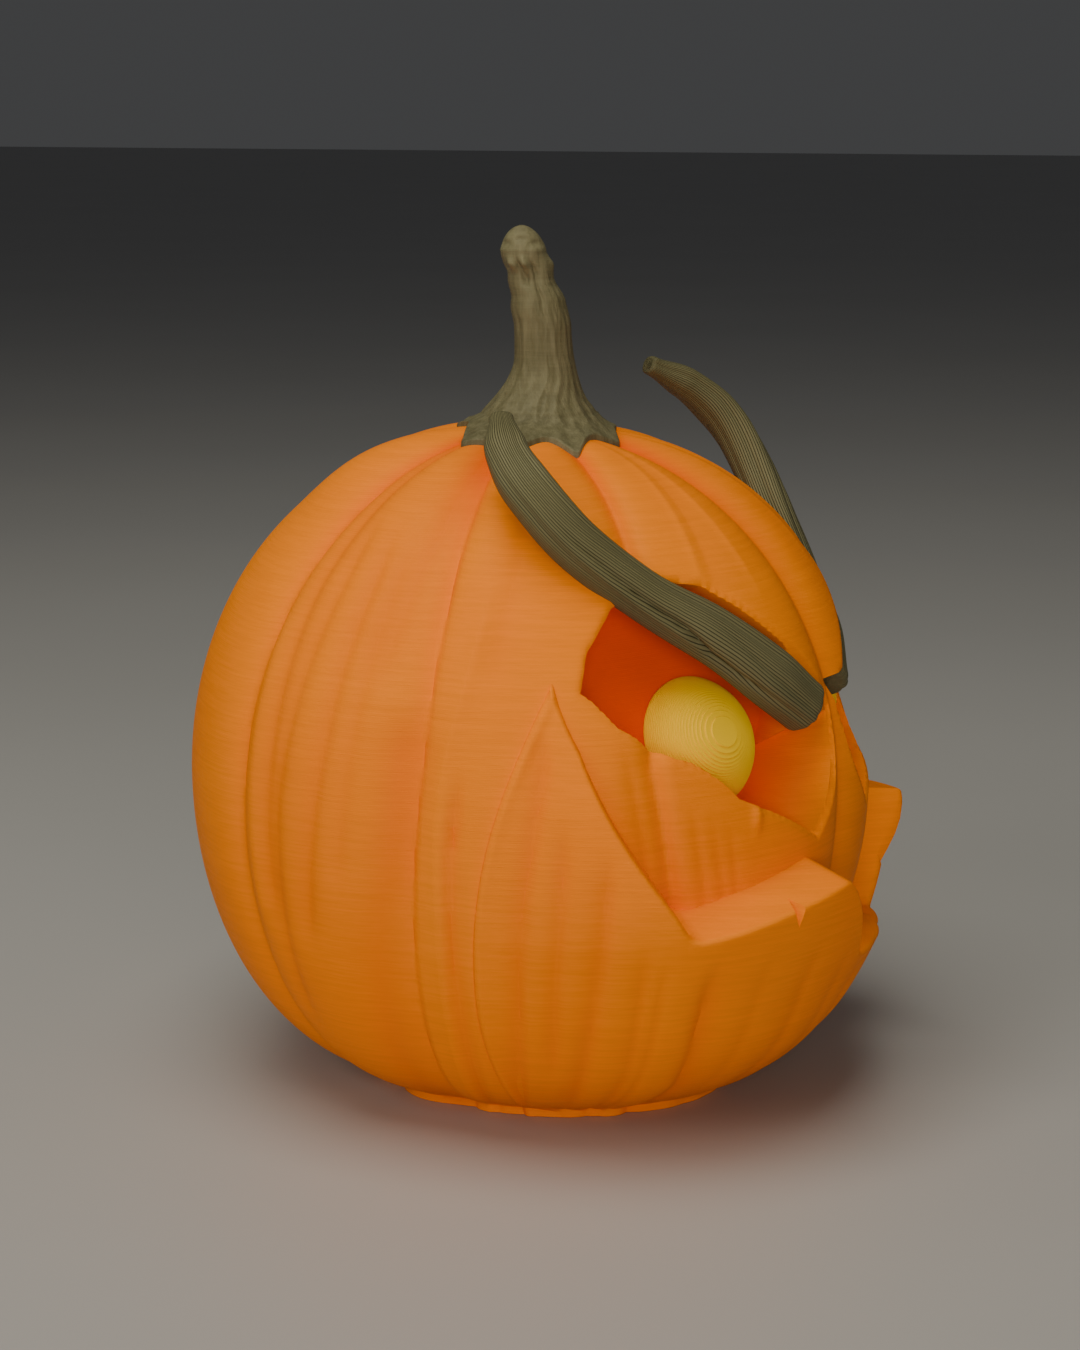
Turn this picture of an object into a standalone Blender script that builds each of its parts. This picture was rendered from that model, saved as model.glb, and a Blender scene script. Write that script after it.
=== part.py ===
"""A printed plastic pumpkin with a carved face: ribbed body, jutting jaw, domed eyes, brows and a stem.

The face looks along -Y and +Z is up. The origin is the centre of the flat underside.
Lengths are metres, written as millimetres times MM. Angles round the body are degrees from the
face's middle, positive towards +X.
"""

import math

import bmesh
import bpy
from mathutils import Matrix, Vector

MM = 0.001

# Body of revolution
BODY_RADIUS = 50.9 * MM
WAIST_HEIGHT = 47.0 * MM
TOP_RISE = 51.3 * MM
BOTTOM_DROP = 48.5 * MM
TOP_FULLNESS = 0.85
BOTTOM_FULLNESS = 0.66

# Lobes of the body
CREASE_ANGLES = (-160.0, -119.0, -81.0, -41.0, 0.0, 41.0, 81.0, 119.0, 160.0)
COLUMNS_PER_LOBE = 12
COLUMN_BUNCHING = 0.55
BODY_ROWS = 25
CREASE_DEPTH = 1.7 * MM
CREASE_SHARPNESS = 0.5
FOLDS_PER_LOBE = 3
FOLD_DEPTH = 0.45 * MM
FOLD_SHARPNESS = 0.8
CREASE_GROWTH_AT_TOP = 1.1
CREASE_FADE = 0.6

# Jaw, a raised shell round the front
JAW_SIDE_ANGLE = 74.0
JAW_SIDE_HEIGHT = 26.0 * MM
JAW_TIP_ANGLE = 61.3
JAW_TIP_HEIGHT = 69.0 * MM
JAW_SIDE_CURVE = 2.3
JAW_FOOT_ANGLE = 66.5
JAW_FOOT_HEIGHT = -1.0 * MM
JAW_EDGE_STEP = 0.6 * MM
JAW_BURIED = 3.5 * MM
JAW_TOP_SLOPE = 0.3
JAW_WIDE_SPAN = 74.0
JAW_NARROW_SPAN = 42.0
JAW_SPAN_HEIGHT = 34.0 * MM
JAW_SWELL_POWER = 1.3
JAW_SWELL = ((0.0, 6.5 * MM), (12.0 * MM, 6.4 * MM), (22.0 * MM, 6.0 * MM), (38.0 * MM, 7.4 * MM),
             (52.0 * MM, 6.4 * MM), (70.0 * MM, 3.0 * MM))
JAW_LEFT_EXTRA = 2.2 * MM
JAW_LEFT_ANGLES = (15.0, 38.0)
JAW_LEFT_HEIGHTS = (18.0 * MM, 36.0 * MM)
JAW_SPLIT_HEIGHT = 21.0 * MM
JAW_LOWER_ROWS = 6
JAW_UPPER_ROWS = 8
JAW_COLUMN_STEP = 3.4
JAW_SIDE_COLUMNS = (73.6, 72.4, 70.6, 68.4, JAW_FOOT_ANGLE, 63.8)
JAW_GROOVES = ((-64.0, 0.30 * MM), (-59.0, 0.45 * MM), (-53.5, 0.30 * MM), (-20.0, 0.4 * MM),
               (20.0, 0.4 * MM), (53.5, 0.30 * MM), (59.0, 0.45 * MM), (64.0, 0.30 * MM))
JAW_GROOVE_WIDTH = 1.7

# Upper edge of the jaw between its two tips: angle and height in millimetres
MOUTH_EDGE = ((-61.3, 69.0), (-57.4, 60.0), (-53.9, 52.3), (-51.1, 47.5), (-47.9, 42.8), (-44.6, 38.5),
              (-42.3, 35.2), (-36.0, 35.6), (-15.9, 39.2), (-12.9, 37.4), (-10.1, 34.2), (-6.2, 28.8),
              (-2.5, 24.8), (-0.5, 24.2), (29.5, 23.2), (36.0, 29.4), (38.0, 38.8), (47.0, 38.7),
              (47.6, 39.5), (51.0, 39.4), (56.5, 53.0), (61.3, 69.0))

# Chips in the outer edge of the teeth: left, right and lowest angle, top and lowest height,
# and how far in from the tooth's face the chip runs out
TOOTH_CHIPS = ((-29.6, -24.0, -25.8, 38.6, 32.4, 54.6),)
CHIP_REACH = 62.0 * MM
CHIP_CLEARANCE = 1.5
CHIP_TIP_RISE = 0.3

# Eye sockets, cut square to the axis of each eye
EYE_ANGLE = -28.5
EYE_TILT = 24.0
EYE_SEAT_RADIUS = 39.2 * MM
EYE_SEAT_HEIGHT = 57.8 * MM
EYE_RADIUS = 9.7 * MM
EYE_DOME = 6.5 * MM
EYE_RINGS = 6
EYE_SIDES = 28
# Round the right-hand socket: a corner of its floor across and up, and the same corner of its open mouth
# across, up and out, in millimetres along the eye's own axes
SOCKET_OUTLINE = ((-22.2, 8.0, -22.2, 8.0, 20.0), (-18.4, 1.6, -18.4, 3.9, 20.0),
                  (-11.4, -4.2, -11.4, -1.0, 20.0), (-4.8, -9.6, -4.8, -3.5, 20.0),
                  (2.0, -12.4, 2.0, -10.6, 20.0), (3.6, -12.7, 41.0, -26.5, 10.4),
                  (7.2, -8.0, 45.0, -11.6, 9.6), (9.0, -2.4, 45.0, 6.6, 12.0),
                  (13.5, 4.5, 24.2, 2.7, 17.7), (11.0, 8.7, 11.0, 8.7, 20.0), (3.3, 14.5, 3.3, 14.5, 20.0),
                  (-1.2, 18.3, -1.2, 18.3, 20.0), (-7.4, 21.0, -7.4, 21.0, 20.0),
                  (-15.0, 18.5, -15.0, 18.5, 20.0), (-20.2, 13.0, -20.2, 13.0, 20.0))

# Brows, swept along a curve from the free outer tip to the nose
BROW_PATH = ((-26.8, -8.2, 101.6), (-32.0, -11.9, 97.5), (-34.7, -16.8, 92.7), (-32.8, -22.3, 86.1),
             (-27.6, -29.7, 79.3), (-21.2, -37.1, 73.3), (-15.1, -42.7, 67.1), (-9.2, -46.4, 61.8))
# The left brow sits a little off the mirrored place of the right one, with its tip higher
BROW_LEFT_PATH = ((26.5, -8.0, 104.5), (32.1, -12.4, 101.0), (34.8, -17.2, 95.7), (33.1, -22.5, 88.6),
                  (27.3, -28.8, 81.1), (20.0, -34.7, 74.4), (13.4, -40.4, 68.3), (7.3, -44.1, 62.6))
BROW_HALF_WIDTH = 3.5 * MM
BROW_HALF_DEPTH = 3.1 * MM
BROW_SCALE = ((0.0, 0.50), (0.12, 0.83), (0.25, 0.94), (0.55, 0.98), (0.70, 1.14), (0.85, 1.15), (1.0, 1.02))
BROW_STATIONS = 26
BROW_SIDES = 16
BROW_SQUARENESS = 2.8
BROW_GROOVE_DEPTH = 0.35 * MM
BROW_GROOVES = (35.0, 150.0, 215.0, 325.0)
BROW_GROOVE_WIDTH = 16.0
BROW_CENTRE_HEIGHT = 50.0 * MM
BROW_END_LENGTH = 1.0 * MM
BROW_OUTER_END = 0.55
BROW_INNER_END = 0.72

# Stem and its skirt
STEM_FOOT = 93.0 * MM
SKIRT_EDGE = 0.4 * MM
# Angle and radius of the skirt's edge at each of its points and at the gap after it
SKIRT_POINTS = ((-156.0, 10.9), (-105.0, 15.4), (-74.0, 17.2), (-41.0, 18.4), (1.0, 14.8), (41.0, 15.0),
                (81.0, 15.0), (119.0, 15.0), (160.0, 13.0))
SKIRT_GAPS = ((-139.0, 9.4), (-90.0, 13.2), (-54.0, 13.2), (-20.0, 13.0), (20.0, 12.6), (60.0, 12.4),
              (100.0, 12.4), (140.0, 11.4), (182.0, 9.8))
SKIRT_POINT_SHARPNESS = 1.5
STEM_PROFILE = ((99.6, 8.6), (101.5, 6.8), (103.5, 5.7), (105.5, 4.9), (107.5, 4.3), (110.5, 4.2), (115.0, 4.2),
                (117.5, 3.6), (119.5, 3.35), (122.0, 3.3), (124.2, 3.2), (125.4, 2.4), (126.3, 1.6), (127.0, 0.8))
STEM_LEAN = ((95.0, 0.9), (100.0, 1.2), (107.0, 1.95), (112.0, 1.75), (116.0, 1.1), (119.5, 0.0), (123.5, -1.1),
             (127.0, -1.3))
STEM_LEAN_ANGLE = -65.0
STEM_SIDES = 36
STEM_RIDGE = 0.10
STEM_FLARE_TOP = 105.0
STEM_RIDGE_AT_FLARE = 1.0
STEM_RIDGE_ABOVE = 0.72
SHOULDER_RADIUS_SHARE = 0.5
SHOULDER_HEIGHT_SHARE = 0.55

FIT_GAP = 0.3 * MM
CLEAR_BELOW = 12.0 * MM
SMOOTH_ANGLE = math.radians(38.0)


def smooth_steps(knots, value):
    """Read a curve through (place, value) pairs, eased between them and held at its ends."""
    if value <= knots[0][0]:
        return knots[0][1]
    for (low, first), (high, second) in zip(knots, knots[1:]):
        if value <= high:
            share = (value - low) / (high - low)
            return first + (second - first) * share * share * (3.0 - 2.0 * share)
    return knots[-1][1]


def eased(value, low, high):
    """Rise smoothly from 0 at low to 1 at high."""
    share = min(max((value - low) / (high - low), 0.0), 1.0)
    return share * share * (3.0 - 2.0 * share)


def straight_steps(knots, value):
    """Read a broken line through (place, value) pairs."""
    if value <= knots[0][0]:
        return knots[0][1]
    for (low, first), (high, second) in zip(knots, knots[1:]):
        if value <= high:
            return first + (second - first) * (value - low) / (high - low)
    return knots[-1][1]


def profile_radius(height):
    """Radius of the plain body of revolution at a height."""
    if height >= WAIST_HEIGHT:
        rise = min((height - WAIST_HEIGHT) / TOP_RISE, 1.0)
        return BODY_RADIUS * (1.0 - rise * rise) ** (TOP_FULLNESS / 2.0)
    drop = min((WAIST_HEIGHT - height) / BOTTOM_DROP, 1.0)
    return BODY_RADIUS * (1.0 - drop * drop) ** (BOTTOM_FULLNESS / 2.0)


def lobe_share(angle):
    """How far an angle lies across its lobe, from 0 at one crease to 1 at the next."""
    turned = (angle - CREASE_ANGLES[0]) % 360.0
    starts = [crease - CREASE_ANGLES[0] for crease in CREASE_ANGLES] + [360.0]
    for low, high in zip(starts, starts[1:]):
        if turned < high:
            return (turned - low) / (high - low)
    return 0.0


def crease_inset(angle, height):
    """Depth below the plain profile of the creases and soft folds at a place on the body."""
    share = lobe_share(angle)
    crease = CREASE_DEPTH * (1.0 - math.sin(math.pi * share) ** CREASE_SHARPNESS)
    folds = FOLD_DEPTH * (1.0 - abs(math.sin(math.pi * FOLDS_PER_LOBE * share)) ** FOLD_SHARPNESS)
    rise = max(0.0, (height - WAIST_HEIGHT) / TOP_RISE)
    narrow = (profile_radius(height) / BODY_RADIUS) ** CREASE_FADE
    return (crease * (1.0 + CREASE_GROWTH_AT_TOP * rise ** 3) + folds) * narrow


def body_place(angle, height):
    """Radius and height of the ribbed body's skin for a height on its plain profile.

    Creases go straight in at the side and turn downwards towards the top.
    """
    rise = max(0.0, (height - WAIST_HEIGHT) / TOP_RISE)
    turn = math.asin(min(rise, 1.0)) * rise
    inset = crease_inset(angle, height)
    return profile_radius(height) - inset * math.cos(turn), height - inset * math.sin(turn)


def body_radius(angle, height):
    """Radius of the ribbed body at an angle and a height."""
    return profile_radius(height) - crease_inset(angle, height)


def around(angle, radius, height):
    """Point at an angle from the face's middle, a radius and a height."""
    turn = math.radians(angle)
    return Vector((radius * math.sin(turn), -radius * math.cos(turn), height))


def mesh_object(name, mesh_data, material=None):
    """Make an object from a bmesh, with rounded shading between its sharp edges."""
    bmesh.ops.recalc_face_normals(mesh_data, faces=mesh_data.faces)
    mesh = bpy.data.meshes.new(name)
    mesh_data.to_mesh(mesh)
    mesh_data.free()
    mesh.shade_smooth()
    mesh.set_sharp_from_angle(angle=SMOOTH_ANGLE)
    if material:
        mesh.materials.append(material)
    made = bpy.data.objects.new(name, mesh)
    bpy.context.scene.collection.objects.link(made)
    return made


def as_cutter(made):
    """Mark an object as a guide that only shapes another."""
    made.hide_render = True
    made.display_type = "WIRE"
    return made


def add_boolean(target, tool, operation, name):
    """Join or cut the target with the tool."""
    modifier = target.modifiers.new(name, "BOOLEAN")
    modifier.operation = operation
    modifier.object = tool
    modifier.solver = "EXACT"


def plastic(name, colour, roughness):
    """Printed plastic of one colour."""
    material = bpy.data.materials.new(name)
    material.use_nodes = True
    shader = material.node_tree.nodes["Principled BSDF"]
    shader.inputs["Base Color"].default_value = (*colour, 1.0)
    shader.inputs["Roughness"].default_value = roughness
    shader.inputs["Metallic"].default_value = 0.0
    return material


def lobe_angle(index):
    """Angle of one of the body's columns, closer together beside the creases."""
    lobe, step = divmod(index, COLUMNS_PER_LOBE)
    starts = list(CREASE_ANGLES) + [CREASE_ANGLES[0] + 360.0]
    share = step / COLUMNS_PER_LOBE
    moved = share - COLUMN_BUNCHING * math.sin(2.0 * math.pi * share) / (2.0 * math.pi)
    return starts[lobe] + (starts[lobe + 1] - starts[lobe]) * moved


def ribbed_body():
    """The closed ribbed body before the jaw and the sockets."""
    work = bmesh.new()
    chain = []
    for row in range(BODY_ROWS + 1):
        lift = -math.pi / 2.0 + math.pi * row / BODY_ROWS
        reach = TOP_RISE if lift > 0.0 else BOTTOM_DROP
        height = WAIST_HEIGHT + reach * math.sin(lift)
        chain.append(work.verts.new((0.0, -profile_radius(height), height)))
    edges = [work.edges.new(pair) for pair in zip(chain, chain[1:])]
    columns = COLUMNS_PER_LOBE * len(CREASE_ANGLES)
    bmesh.ops.spin(work, geom=chain + edges, cent=(0, 0, 0), axis=(0, 0, 1), angle=2.0 * math.pi,
                   steps=columns, use_merge=True)
    bmesh.ops.remove_doubles(work, verts=work.verts, dist=1e-6)
    for vert in work.verts:
        reach = math.hypot(vert.co.x, vert.co.y)
        if reach > 1e-6:
            turn = math.degrees(math.atan2(vert.co.x, -vert.co.y)) % 360.0
            angle = lobe_angle(round(turn * columns / 360.0) % columns)
            radius, height = body_place(angle, vert.co.z)
            vert.co = around(angle, radius, height)
    return work


def jaw_side_angle(height):
    """Angle of the jaw's side edge at a height."""
    if height >= JAW_SIDE_HEIGHT:
        share = min((height - JAW_SIDE_HEIGHT) / (JAW_TIP_HEIGHT - JAW_SIDE_HEIGHT), 1.0)
        return JAW_SIDE_ANGLE - (JAW_SIDE_ANGLE - JAW_TIP_ANGLE) * share ** JAW_SIDE_CURVE
    share = (JAW_SIDE_HEIGHT - height) / (JAW_SIDE_HEIGHT - JAW_FOOT_HEIGHT)
    return JAW_SIDE_ANGLE - (JAW_SIDE_ANGLE - JAW_FOOT_ANGLE) * share ** 2.0


def jaw_reach(angle, height):
    """How far the jaw stands out from the body."""
    span = JAW_WIDE_SPAN + (JAW_NARROW_SPAN - JAW_WIDE_SPAN) * min(max(height / JAW_SPAN_HEIGHT, 0.0), 1.0)
    inward = min(max((jaw_side_angle(height) - abs(angle)) / span, 0.0), 1.0)
    left = eased(angle, *JAW_LEFT_ANGLES) * eased(height, *JAW_LEFT_HEIGHTS) * JAW_LEFT_EXTRA
    swell = (smooth_steps(JAW_SWELL, height) + left) * math.sin(math.pi / 2.0 * inward) ** JAW_SWELL_POWER
    groove = sum(depth * math.exp(-((angle - place) / JAW_GROOVE_WIDTH) ** 2) for place, depth in JAW_GROOVES)
    return JAW_EDGE_STEP + swell - groove * min(1.0, inward * 8.0)


def jaw_top(angle):
    """Height of the jaw's upper edge at an angle."""
    if abs(angle) > JAW_TIP_ANGLE:
        share = (JAW_SIDE_ANGLE - abs(angle)) / (JAW_SIDE_ANGLE - JAW_TIP_ANGLE)
        return JAW_SIDE_HEIGHT + (JAW_TIP_HEIGHT - JAW_SIDE_HEIGHT) * max(share, 0.0) ** (1.0 / JAW_SIDE_CURVE)
    return straight_steps(MOUTH_EDGE, angle) * MM


def jaw_bottom(angle):
    """Height of the jaw's lower edge at an angle, below the floor except beside its side edges."""
    if abs(angle) <= JAW_FOOT_ANGLE:
        return JAW_FOOT_HEIGHT
    share = (JAW_SIDE_ANGLE - abs(angle)) / (JAW_SIDE_ANGLE - JAW_FOOT_ANGLE)
    return JAW_SIDE_HEIGHT - (JAW_SIDE_HEIGHT - JAW_FOOT_HEIGHT) * math.sqrt(max(share, 0.0))


def jaw_columns():
    """Angles of the jaw's columns: every corner of its edge, with even steps between them."""
    side = [JAW_SIDE_ANGLE, *JAW_SIDE_COLUMNS]
    corners = [-angle for angle in side] + [angle for angle, height in MOUTH_EDGE] + side[::-1]
    columns = []
    for start, end in zip(corners, corners[1:]):
        count = max(1, math.ceil((end - start) / JAW_COLUMN_STEP))
        columns += [start + (end - start) * step / count for step in range(count)]
    return columns + [corners[-1]]


def jaw_height(angle, row):
    """Height of one row of a jaw column."""
    low, high = jaw_bottom(angle), jaw_top(angle)
    split = min(max(JAW_SPLIT_HEIGHT, low), high)
    if row <= JAW_LOWER_ROWS:
        return low + (split - low) * row / JAW_LOWER_ROWS
    return split + (high - split) * (row - JAW_LOWER_ROWS) / JAW_UPPER_ROWS


def jaw_shell():
    """The jaw as a closed shell whose inner side lies buried in the body."""
    columns = jaw_columns()
    rows = JAW_LOWER_ROWS + JAW_UPPER_ROWS
    work = bmesh.new()
    bmesh.ops.create_grid(work, x_segments=len(columns) - 1, y_segments=rows, size=0.5)
    places = {}
    for vert in work.verts:
        column = round((vert.co.x + 0.5) * (len(columns) - 1))
        places[vert] = (columns[column], round((vert.co.y + 0.5) * rows))
    for vert, (angle, row) in places.items():
        height = jaw_height(angle, row)
        vert.co = around(angle, body_radius(angle, height) + jaw_reach(angle, height), height)
    outer = {tuple(vert.co): place for vert, place in places.items()}
    made = bmesh.ops.extrude_face_region(work, geom=work.faces[:], use_keep_orig=True)
    for vert in [item for item in made["geom"] if isinstance(item, bmesh.types.BMVert)]:
        angle, row = outer[tuple(vert.co)]
        height = jaw_height(angle, row)
        back = jaw_reach(angle, height) + JAW_BURIED
        lift = JAW_TOP_SLOPE * back * (row / rows) ** 4
        vert.co = around(angle, body_radius(angle, height) - JAW_BURIED, height + lift)
    bmesh.ops.remove_doubles(work, verts=work.verts, dist=2e-6)
    bmesh.ops.dissolve_degenerate(work, edges=work.edges, dist=1e-6)
    return work


def eye_frame():
    """Matrix whose origin is the middle of the socket's floor, with +Z along the right eye's axis."""
    turn, tilt = math.radians(EYE_ANGLE), math.radians(EYE_TILT)
    outward = Vector((math.sin(turn) * math.cos(tilt), -math.cos(turn) * math.cos(tilt), math.sin(tilt)))
    across = Vector((math.cos(turn), math.sin(turn), 0.0))
    up = outward.cross(across)
    centre = around(EYE_ANGLE, EYE_SEAT_RADIUS, EYE_SEAT_HEIGHT)
    frame = Matrix((across, up, outward)).transposed().to_4x4()
    frame.translation = centre
    return frame


def socket_cutter(mirrored):
    """The space of one eye socket, from its floor through the body's skin and on outwards."""
    floor = [Vector((across, up, 0.0)) * MM for across, up, _, _, _ in SOCKET_OUTLINE]
    mouth = [Vector((across, up, out)) * MM for _, _, across, up, out in SOCKET_OUTLINE]
    work = loft([floor, mouth])
    bmesh.ops.triangulate(work, faces=work.faces)
    bmesh.ops.transform(work, matrix=eye_frame(), verts=work.verts)
    if mirrored:
        bmesh.ops.scale(work, vec=(-1, 1, 1), verts=work.verts)
    name = "socket_left_cutter" if mirrored else "socket_right_cutter"
    return as_cutter(mesh_object(name, work))


def chip_cutter(number, left, right, lowest, top, bottom, inner):
    """A small wedge that opens at a tooth's outer face and runs out on its top."""
    high, low = (top + CHIP_CLEARANCE) * MM, (bottom - CHIP_CLEARANCE) * MM
    corners = [around(left, CHIP_REACH, high), around(right, CHIP_REACH, high), around(lowest, CHIP_REACH, low)]
    tip = around(lowest, inner * MM, (top + CHIP_TIP_RISE) * MM)
    work = bmesh.new()
    verts = [work.verts.new(point) for point in corners + [tip]]
    bmesh.ops.convex_hull(work, input=verts)
    return as_cutter(mesh_object(f"tooth_chip_{number}", work))


def eye_dome(name, material, mirrored):
    """One eye: a shallow dome that rests on its socket's floor."""
    sphere = (EYE_RADIUS ** 2 + EYE_DOME ** 2) / (2.0 * EYE_DOME)
    reach = math.asin(EYE_RADIUS / sphere)
    work = bmesh.new()
    chain = []
    for ring in range(EYE_RINGS + 1):
        turn = reach * ring / EYE_RINGS
        height = FIT_GAP + EYE_DOME - sphere * (1.0 - math.cos(turn))
        chain.append(work.verts.new((sphere * math.sin(turn), 0.0, height)))
    edges = [work.edges.new(pair) for pair in zip(chain, chain[1:])]
    bmesh.ops.spin(work, geom=chain + edges, cent=(0, 0, 0), axis=(0, 0, 1), angle=2.0 * math.pi,
                   steps=EYE_SIDES, use_merge=True)
    bmesh.ops.remove_doubles(work, verts=work.verts, dist=1e-6)
    open_edges = [edge for edge in work.edges if edge.is_boundary]
    bmesh.ops.holes_fill(work, edges=open_edges)
    bmesh.ops.transform(work, matrix=eye_frame(), verts=work.verts)
    if mirrored:
        bmesh.ops.scale(work, vec=(-1, 1, 1), verts=work.verts)
    return mesh_object(name, work, material)


def loft(rings):
    """Closed solid through rings of points, with a flat cap at each end."""
    work = bmesh.new()
    verts = [work.verts.new(point) for point in rings[0]]
    first = work.faces.new(verts)
    loop = [work.edges.get(pair) for pair in zip(verts, verts[1:] + verts[:1])]
    for ring in rings[1:]:
        made = bmesh.ops.extrude_edge_only(work, edges=loop)
        loop = [item for item in made["geom"] if isinstance(item, bmesh.types.BMEdge) and item.is_boundary]
        fresh = [item for item in made["geom"] if isinstance(item, bmesh.types.BMVert)]
        order = {tuple(vert.co): index for index, vert in enumerate(verts)}
        moved = sorted(fresh, key=lambda vert: order[tuple(vert.co)])
        for vert, point in zip(moved, ring):
            vert.co = point
        verts = moved
    bmesh.ops.contextual_create(work, geom=loop)
    first.normal_update()
    return work


def brow_points(left):
    """Points along a brow's middle line, read from a smooth curve through its path."""
    path = [Vector(point) * MM for point in (BROW_LEFT_PATH if left else BROW_PATH)]
    ends = [path[0] * 2.0 - path[1]] + path + [path[-1] * 2.0 - path[-2]]
    points = []
    for station in range(BROW_STATIONS + 1):
        place = station / BROW_STATIONS * (len(path) - 1)
        index = min(int(place), len(path) - 2)
        share = place - index
        before, start, end, after = ends[index:index + 4]
        bend = (2.0 * start + (end - before) * share
                + (2.0 * before - 5.0 * start + 4.0 * end - after) * share ** 2
                + (3.0 * start - before - 3.0 * end + after) * share ** 3)
        points.append(bend * 0.5)
    return points


def brow_section(turn, grow):
    """Half width and half depth of the brow's grooved section at a turn round it."""
    across, out = math.cos(turn), math.sin(turn)
    squared = (abs(across) ** BROW_SQUARENESS + abs(out) ** BROW_SQUARENESS) ** (1.0 / BROW_SQUARENESS)
    groove = 0.0
    for place in BROW_GROOVES:
        apart = (math.degrees(turn) - place + 180.0) % 360.0 - 180.0
        groove += BROW_GROOVE_DEPTH * math.exp(-(apart / BROW_GROOVE_WIDTH) ** 2)
    width = BROW_HALF_WIDTH * across / squared
    depth = BROW_HALF_DEPTH * out / squared
    shrink = 1.0 - groove / math.hypot(width, depth)
    stretch = 1.0 + grow / math.hypot(width, depth)
    return width * shrink * stretch, depth * shrink * stretch


def brow_rings(left, grow):
    """Rings of points of a brow, made larger all round by a clearance."""
    points = brow_points(left)
    rings = []
    for station, point in enumerate(points):
        before = points[max(station - 1, 0)]
        after = points[min(station + 1, len(points) - 1)]
        along = (after - before).normalized()
        outward = point - Vector((0.0, 0.0, BROW_CENTRE_HEIGHT))
        outward = (outward - along * outward.dot(along)).normalized()
        side = along.cross(outward) * (-1.0 if left else 1.0)
        size = smooth_steps(BROW_SCALE, station / BROW_STATIONS)
        middle = point
        if station == 0:
            middle = point - along * grow
        if station == BROW_STATIONS:
            middle = point + along * grow
        ring = []
        for corner in range(BROW_SIDES):
            width, depth = brow_section(2.0 * math.pi * corner / BROW_SIDES, grow)
            ring.append(middle + side * width * size + outward * depth * size)
        rings.append(ring)
    outer = end_ring(rings[0], rings[1], BROW_OUTER_END, grow)
    inner = end_ring(rings[-1], rings[-2], BROW_INNER_END, grow)
    return [outer] + rings + [inner]


def end_ring(ring, neighbour, scale, grow):
    """A smaller ring just past the end of a run of rings, which rounds that end."""
    centre = sum(ring, Vector()) / len(ring)
    inner = sum(neighbour, Vector()) / len(neighbour)
    past = (centre - inner).normalized() * (BROW_END_LENGTH + grow * 0.3)
    return [centre + past + (point - centre) * scale for point in ring]


def brow(name, material, left, grow=0.0):
    """One brow, or with grow the space that it needs."""
    return mesh_object(name, loft(brow_rings(left, grow)), material)


def skirt_radius(angle):
    """Radius of the skirt's edge, sharp at its points and round in its gaps."""
    stops = sorted(SKIRT_POINTS + SKIRT_GAPS)
    first = stops[0][0]
    turned = (angle - first) % 360.0 + first
    stops.append((first + 360.0, stops[0][1]))
    for (low, before), (high, after) in zip(stops, stops[1:]):
        if turned <= high:
            share = (turned - low) / (high - low)
            rising = share if after > before else 1.0 - share
            return (min(before, after) + abs(after - before) * rising ** SKIRT_POINT_SHARPNESS) * MM
    return stops[0][1] * MM


def surface_height(angle, radius):
    """Height of the body's top at an angle and a radius."""
    share = (radius / BODY_RADIUS) ** (2.0 / TOP_FULLNESS)
    height = WAIST_HEIGHT + TOP_RISE * math.sqrt(1.0 - share)
    return height - crease_inset(angle, height)


def stem_ring(height, radius, grow):
    """One ridged ring of the stem, with its ridges in line with the body's creases."""
    lean = smooth_steps(STEM_LEAN, height / MM) * MM
    turn = math.radians(STEM_LEAN_ANGLE)
    centre = Vector((lean * math.cos(turn), lean * math.sin(turn), 0.0))
    depth = STEM_RIDGE * (STEM_RIDGE_AT_FLARE if height < STEM_FLARE_TOP * MM else STEM_RIDGE_ABOVE)
    ring = []
    for side in range(STEM_SIDES):
        angle = 360.0 * side / STEM_SIDES
        ridge = 1.0 + depth * math.cos(2.0 * math.pi * lobe_share(angle))
        reach = radius * ridge + grow
        ring.append(centre + around(angle, reach, height))
    return ring


def stem_rings(grow):
    """Rings of the stem from its flat foot over the skirt's edge to its top."""
    angles = [360.0 * side / STEM_SIDES for side in range(STEM_SIDES)]
    foot = [around(angle, skirt_radius(angle) + grow, STEM_FOOT - grow) for angle in angles]
    edge, shoulder = [], []
    for angle in angles:
        rim = skirt_radius(angle)
        height = surface_height(angle, rim) + SKIRT_EDGE
        edge.append(around(angle, rim + grow, max(height, STEM_FOOT + 0.4 * MM) + grow))
        inner = rim + (STEM_PROFILE[0][1] * MM - rim) * SHOULDER_RADIUS_SHARE
        raised = height + (STEM_PROFILE[0][0] * MM - height) * SHOULDER_HEIGHT_SHARE
        shoulder.append(around(angle, inner + grow, raised + grow))
    rings = [foot, edge, shoulder]
    for height, radius in STEM_PROFILE:
        rings.append(stem_ring(height * MM, radius * MM, grow))
    return rings


def stem(name, material, grow=0.0):
    """The stem, or with grow the space that it needs."""
    return mesh_object(name, loft(stem_rings(grow)), material)


def floor_cutter():
    """A block below the floor that leaves the body a flat underside."""
    work = bmesh.new()
    bmesh.ops.create_cube(work, size=1.0)
    bmesh.ops.scale(work, vec=(4.0 * BODY_RADIUS, 4.0 * BODY_RADIUS, CLEAR_BELOW), verts=work.verts)
    bmesh.ops.translate(work, vec=(0.0, 0.0, -CLEAR_BELOW / 2.0), verts=work.verts)
    return as_cutter(mesh_object("floor_cutter", work))


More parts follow.
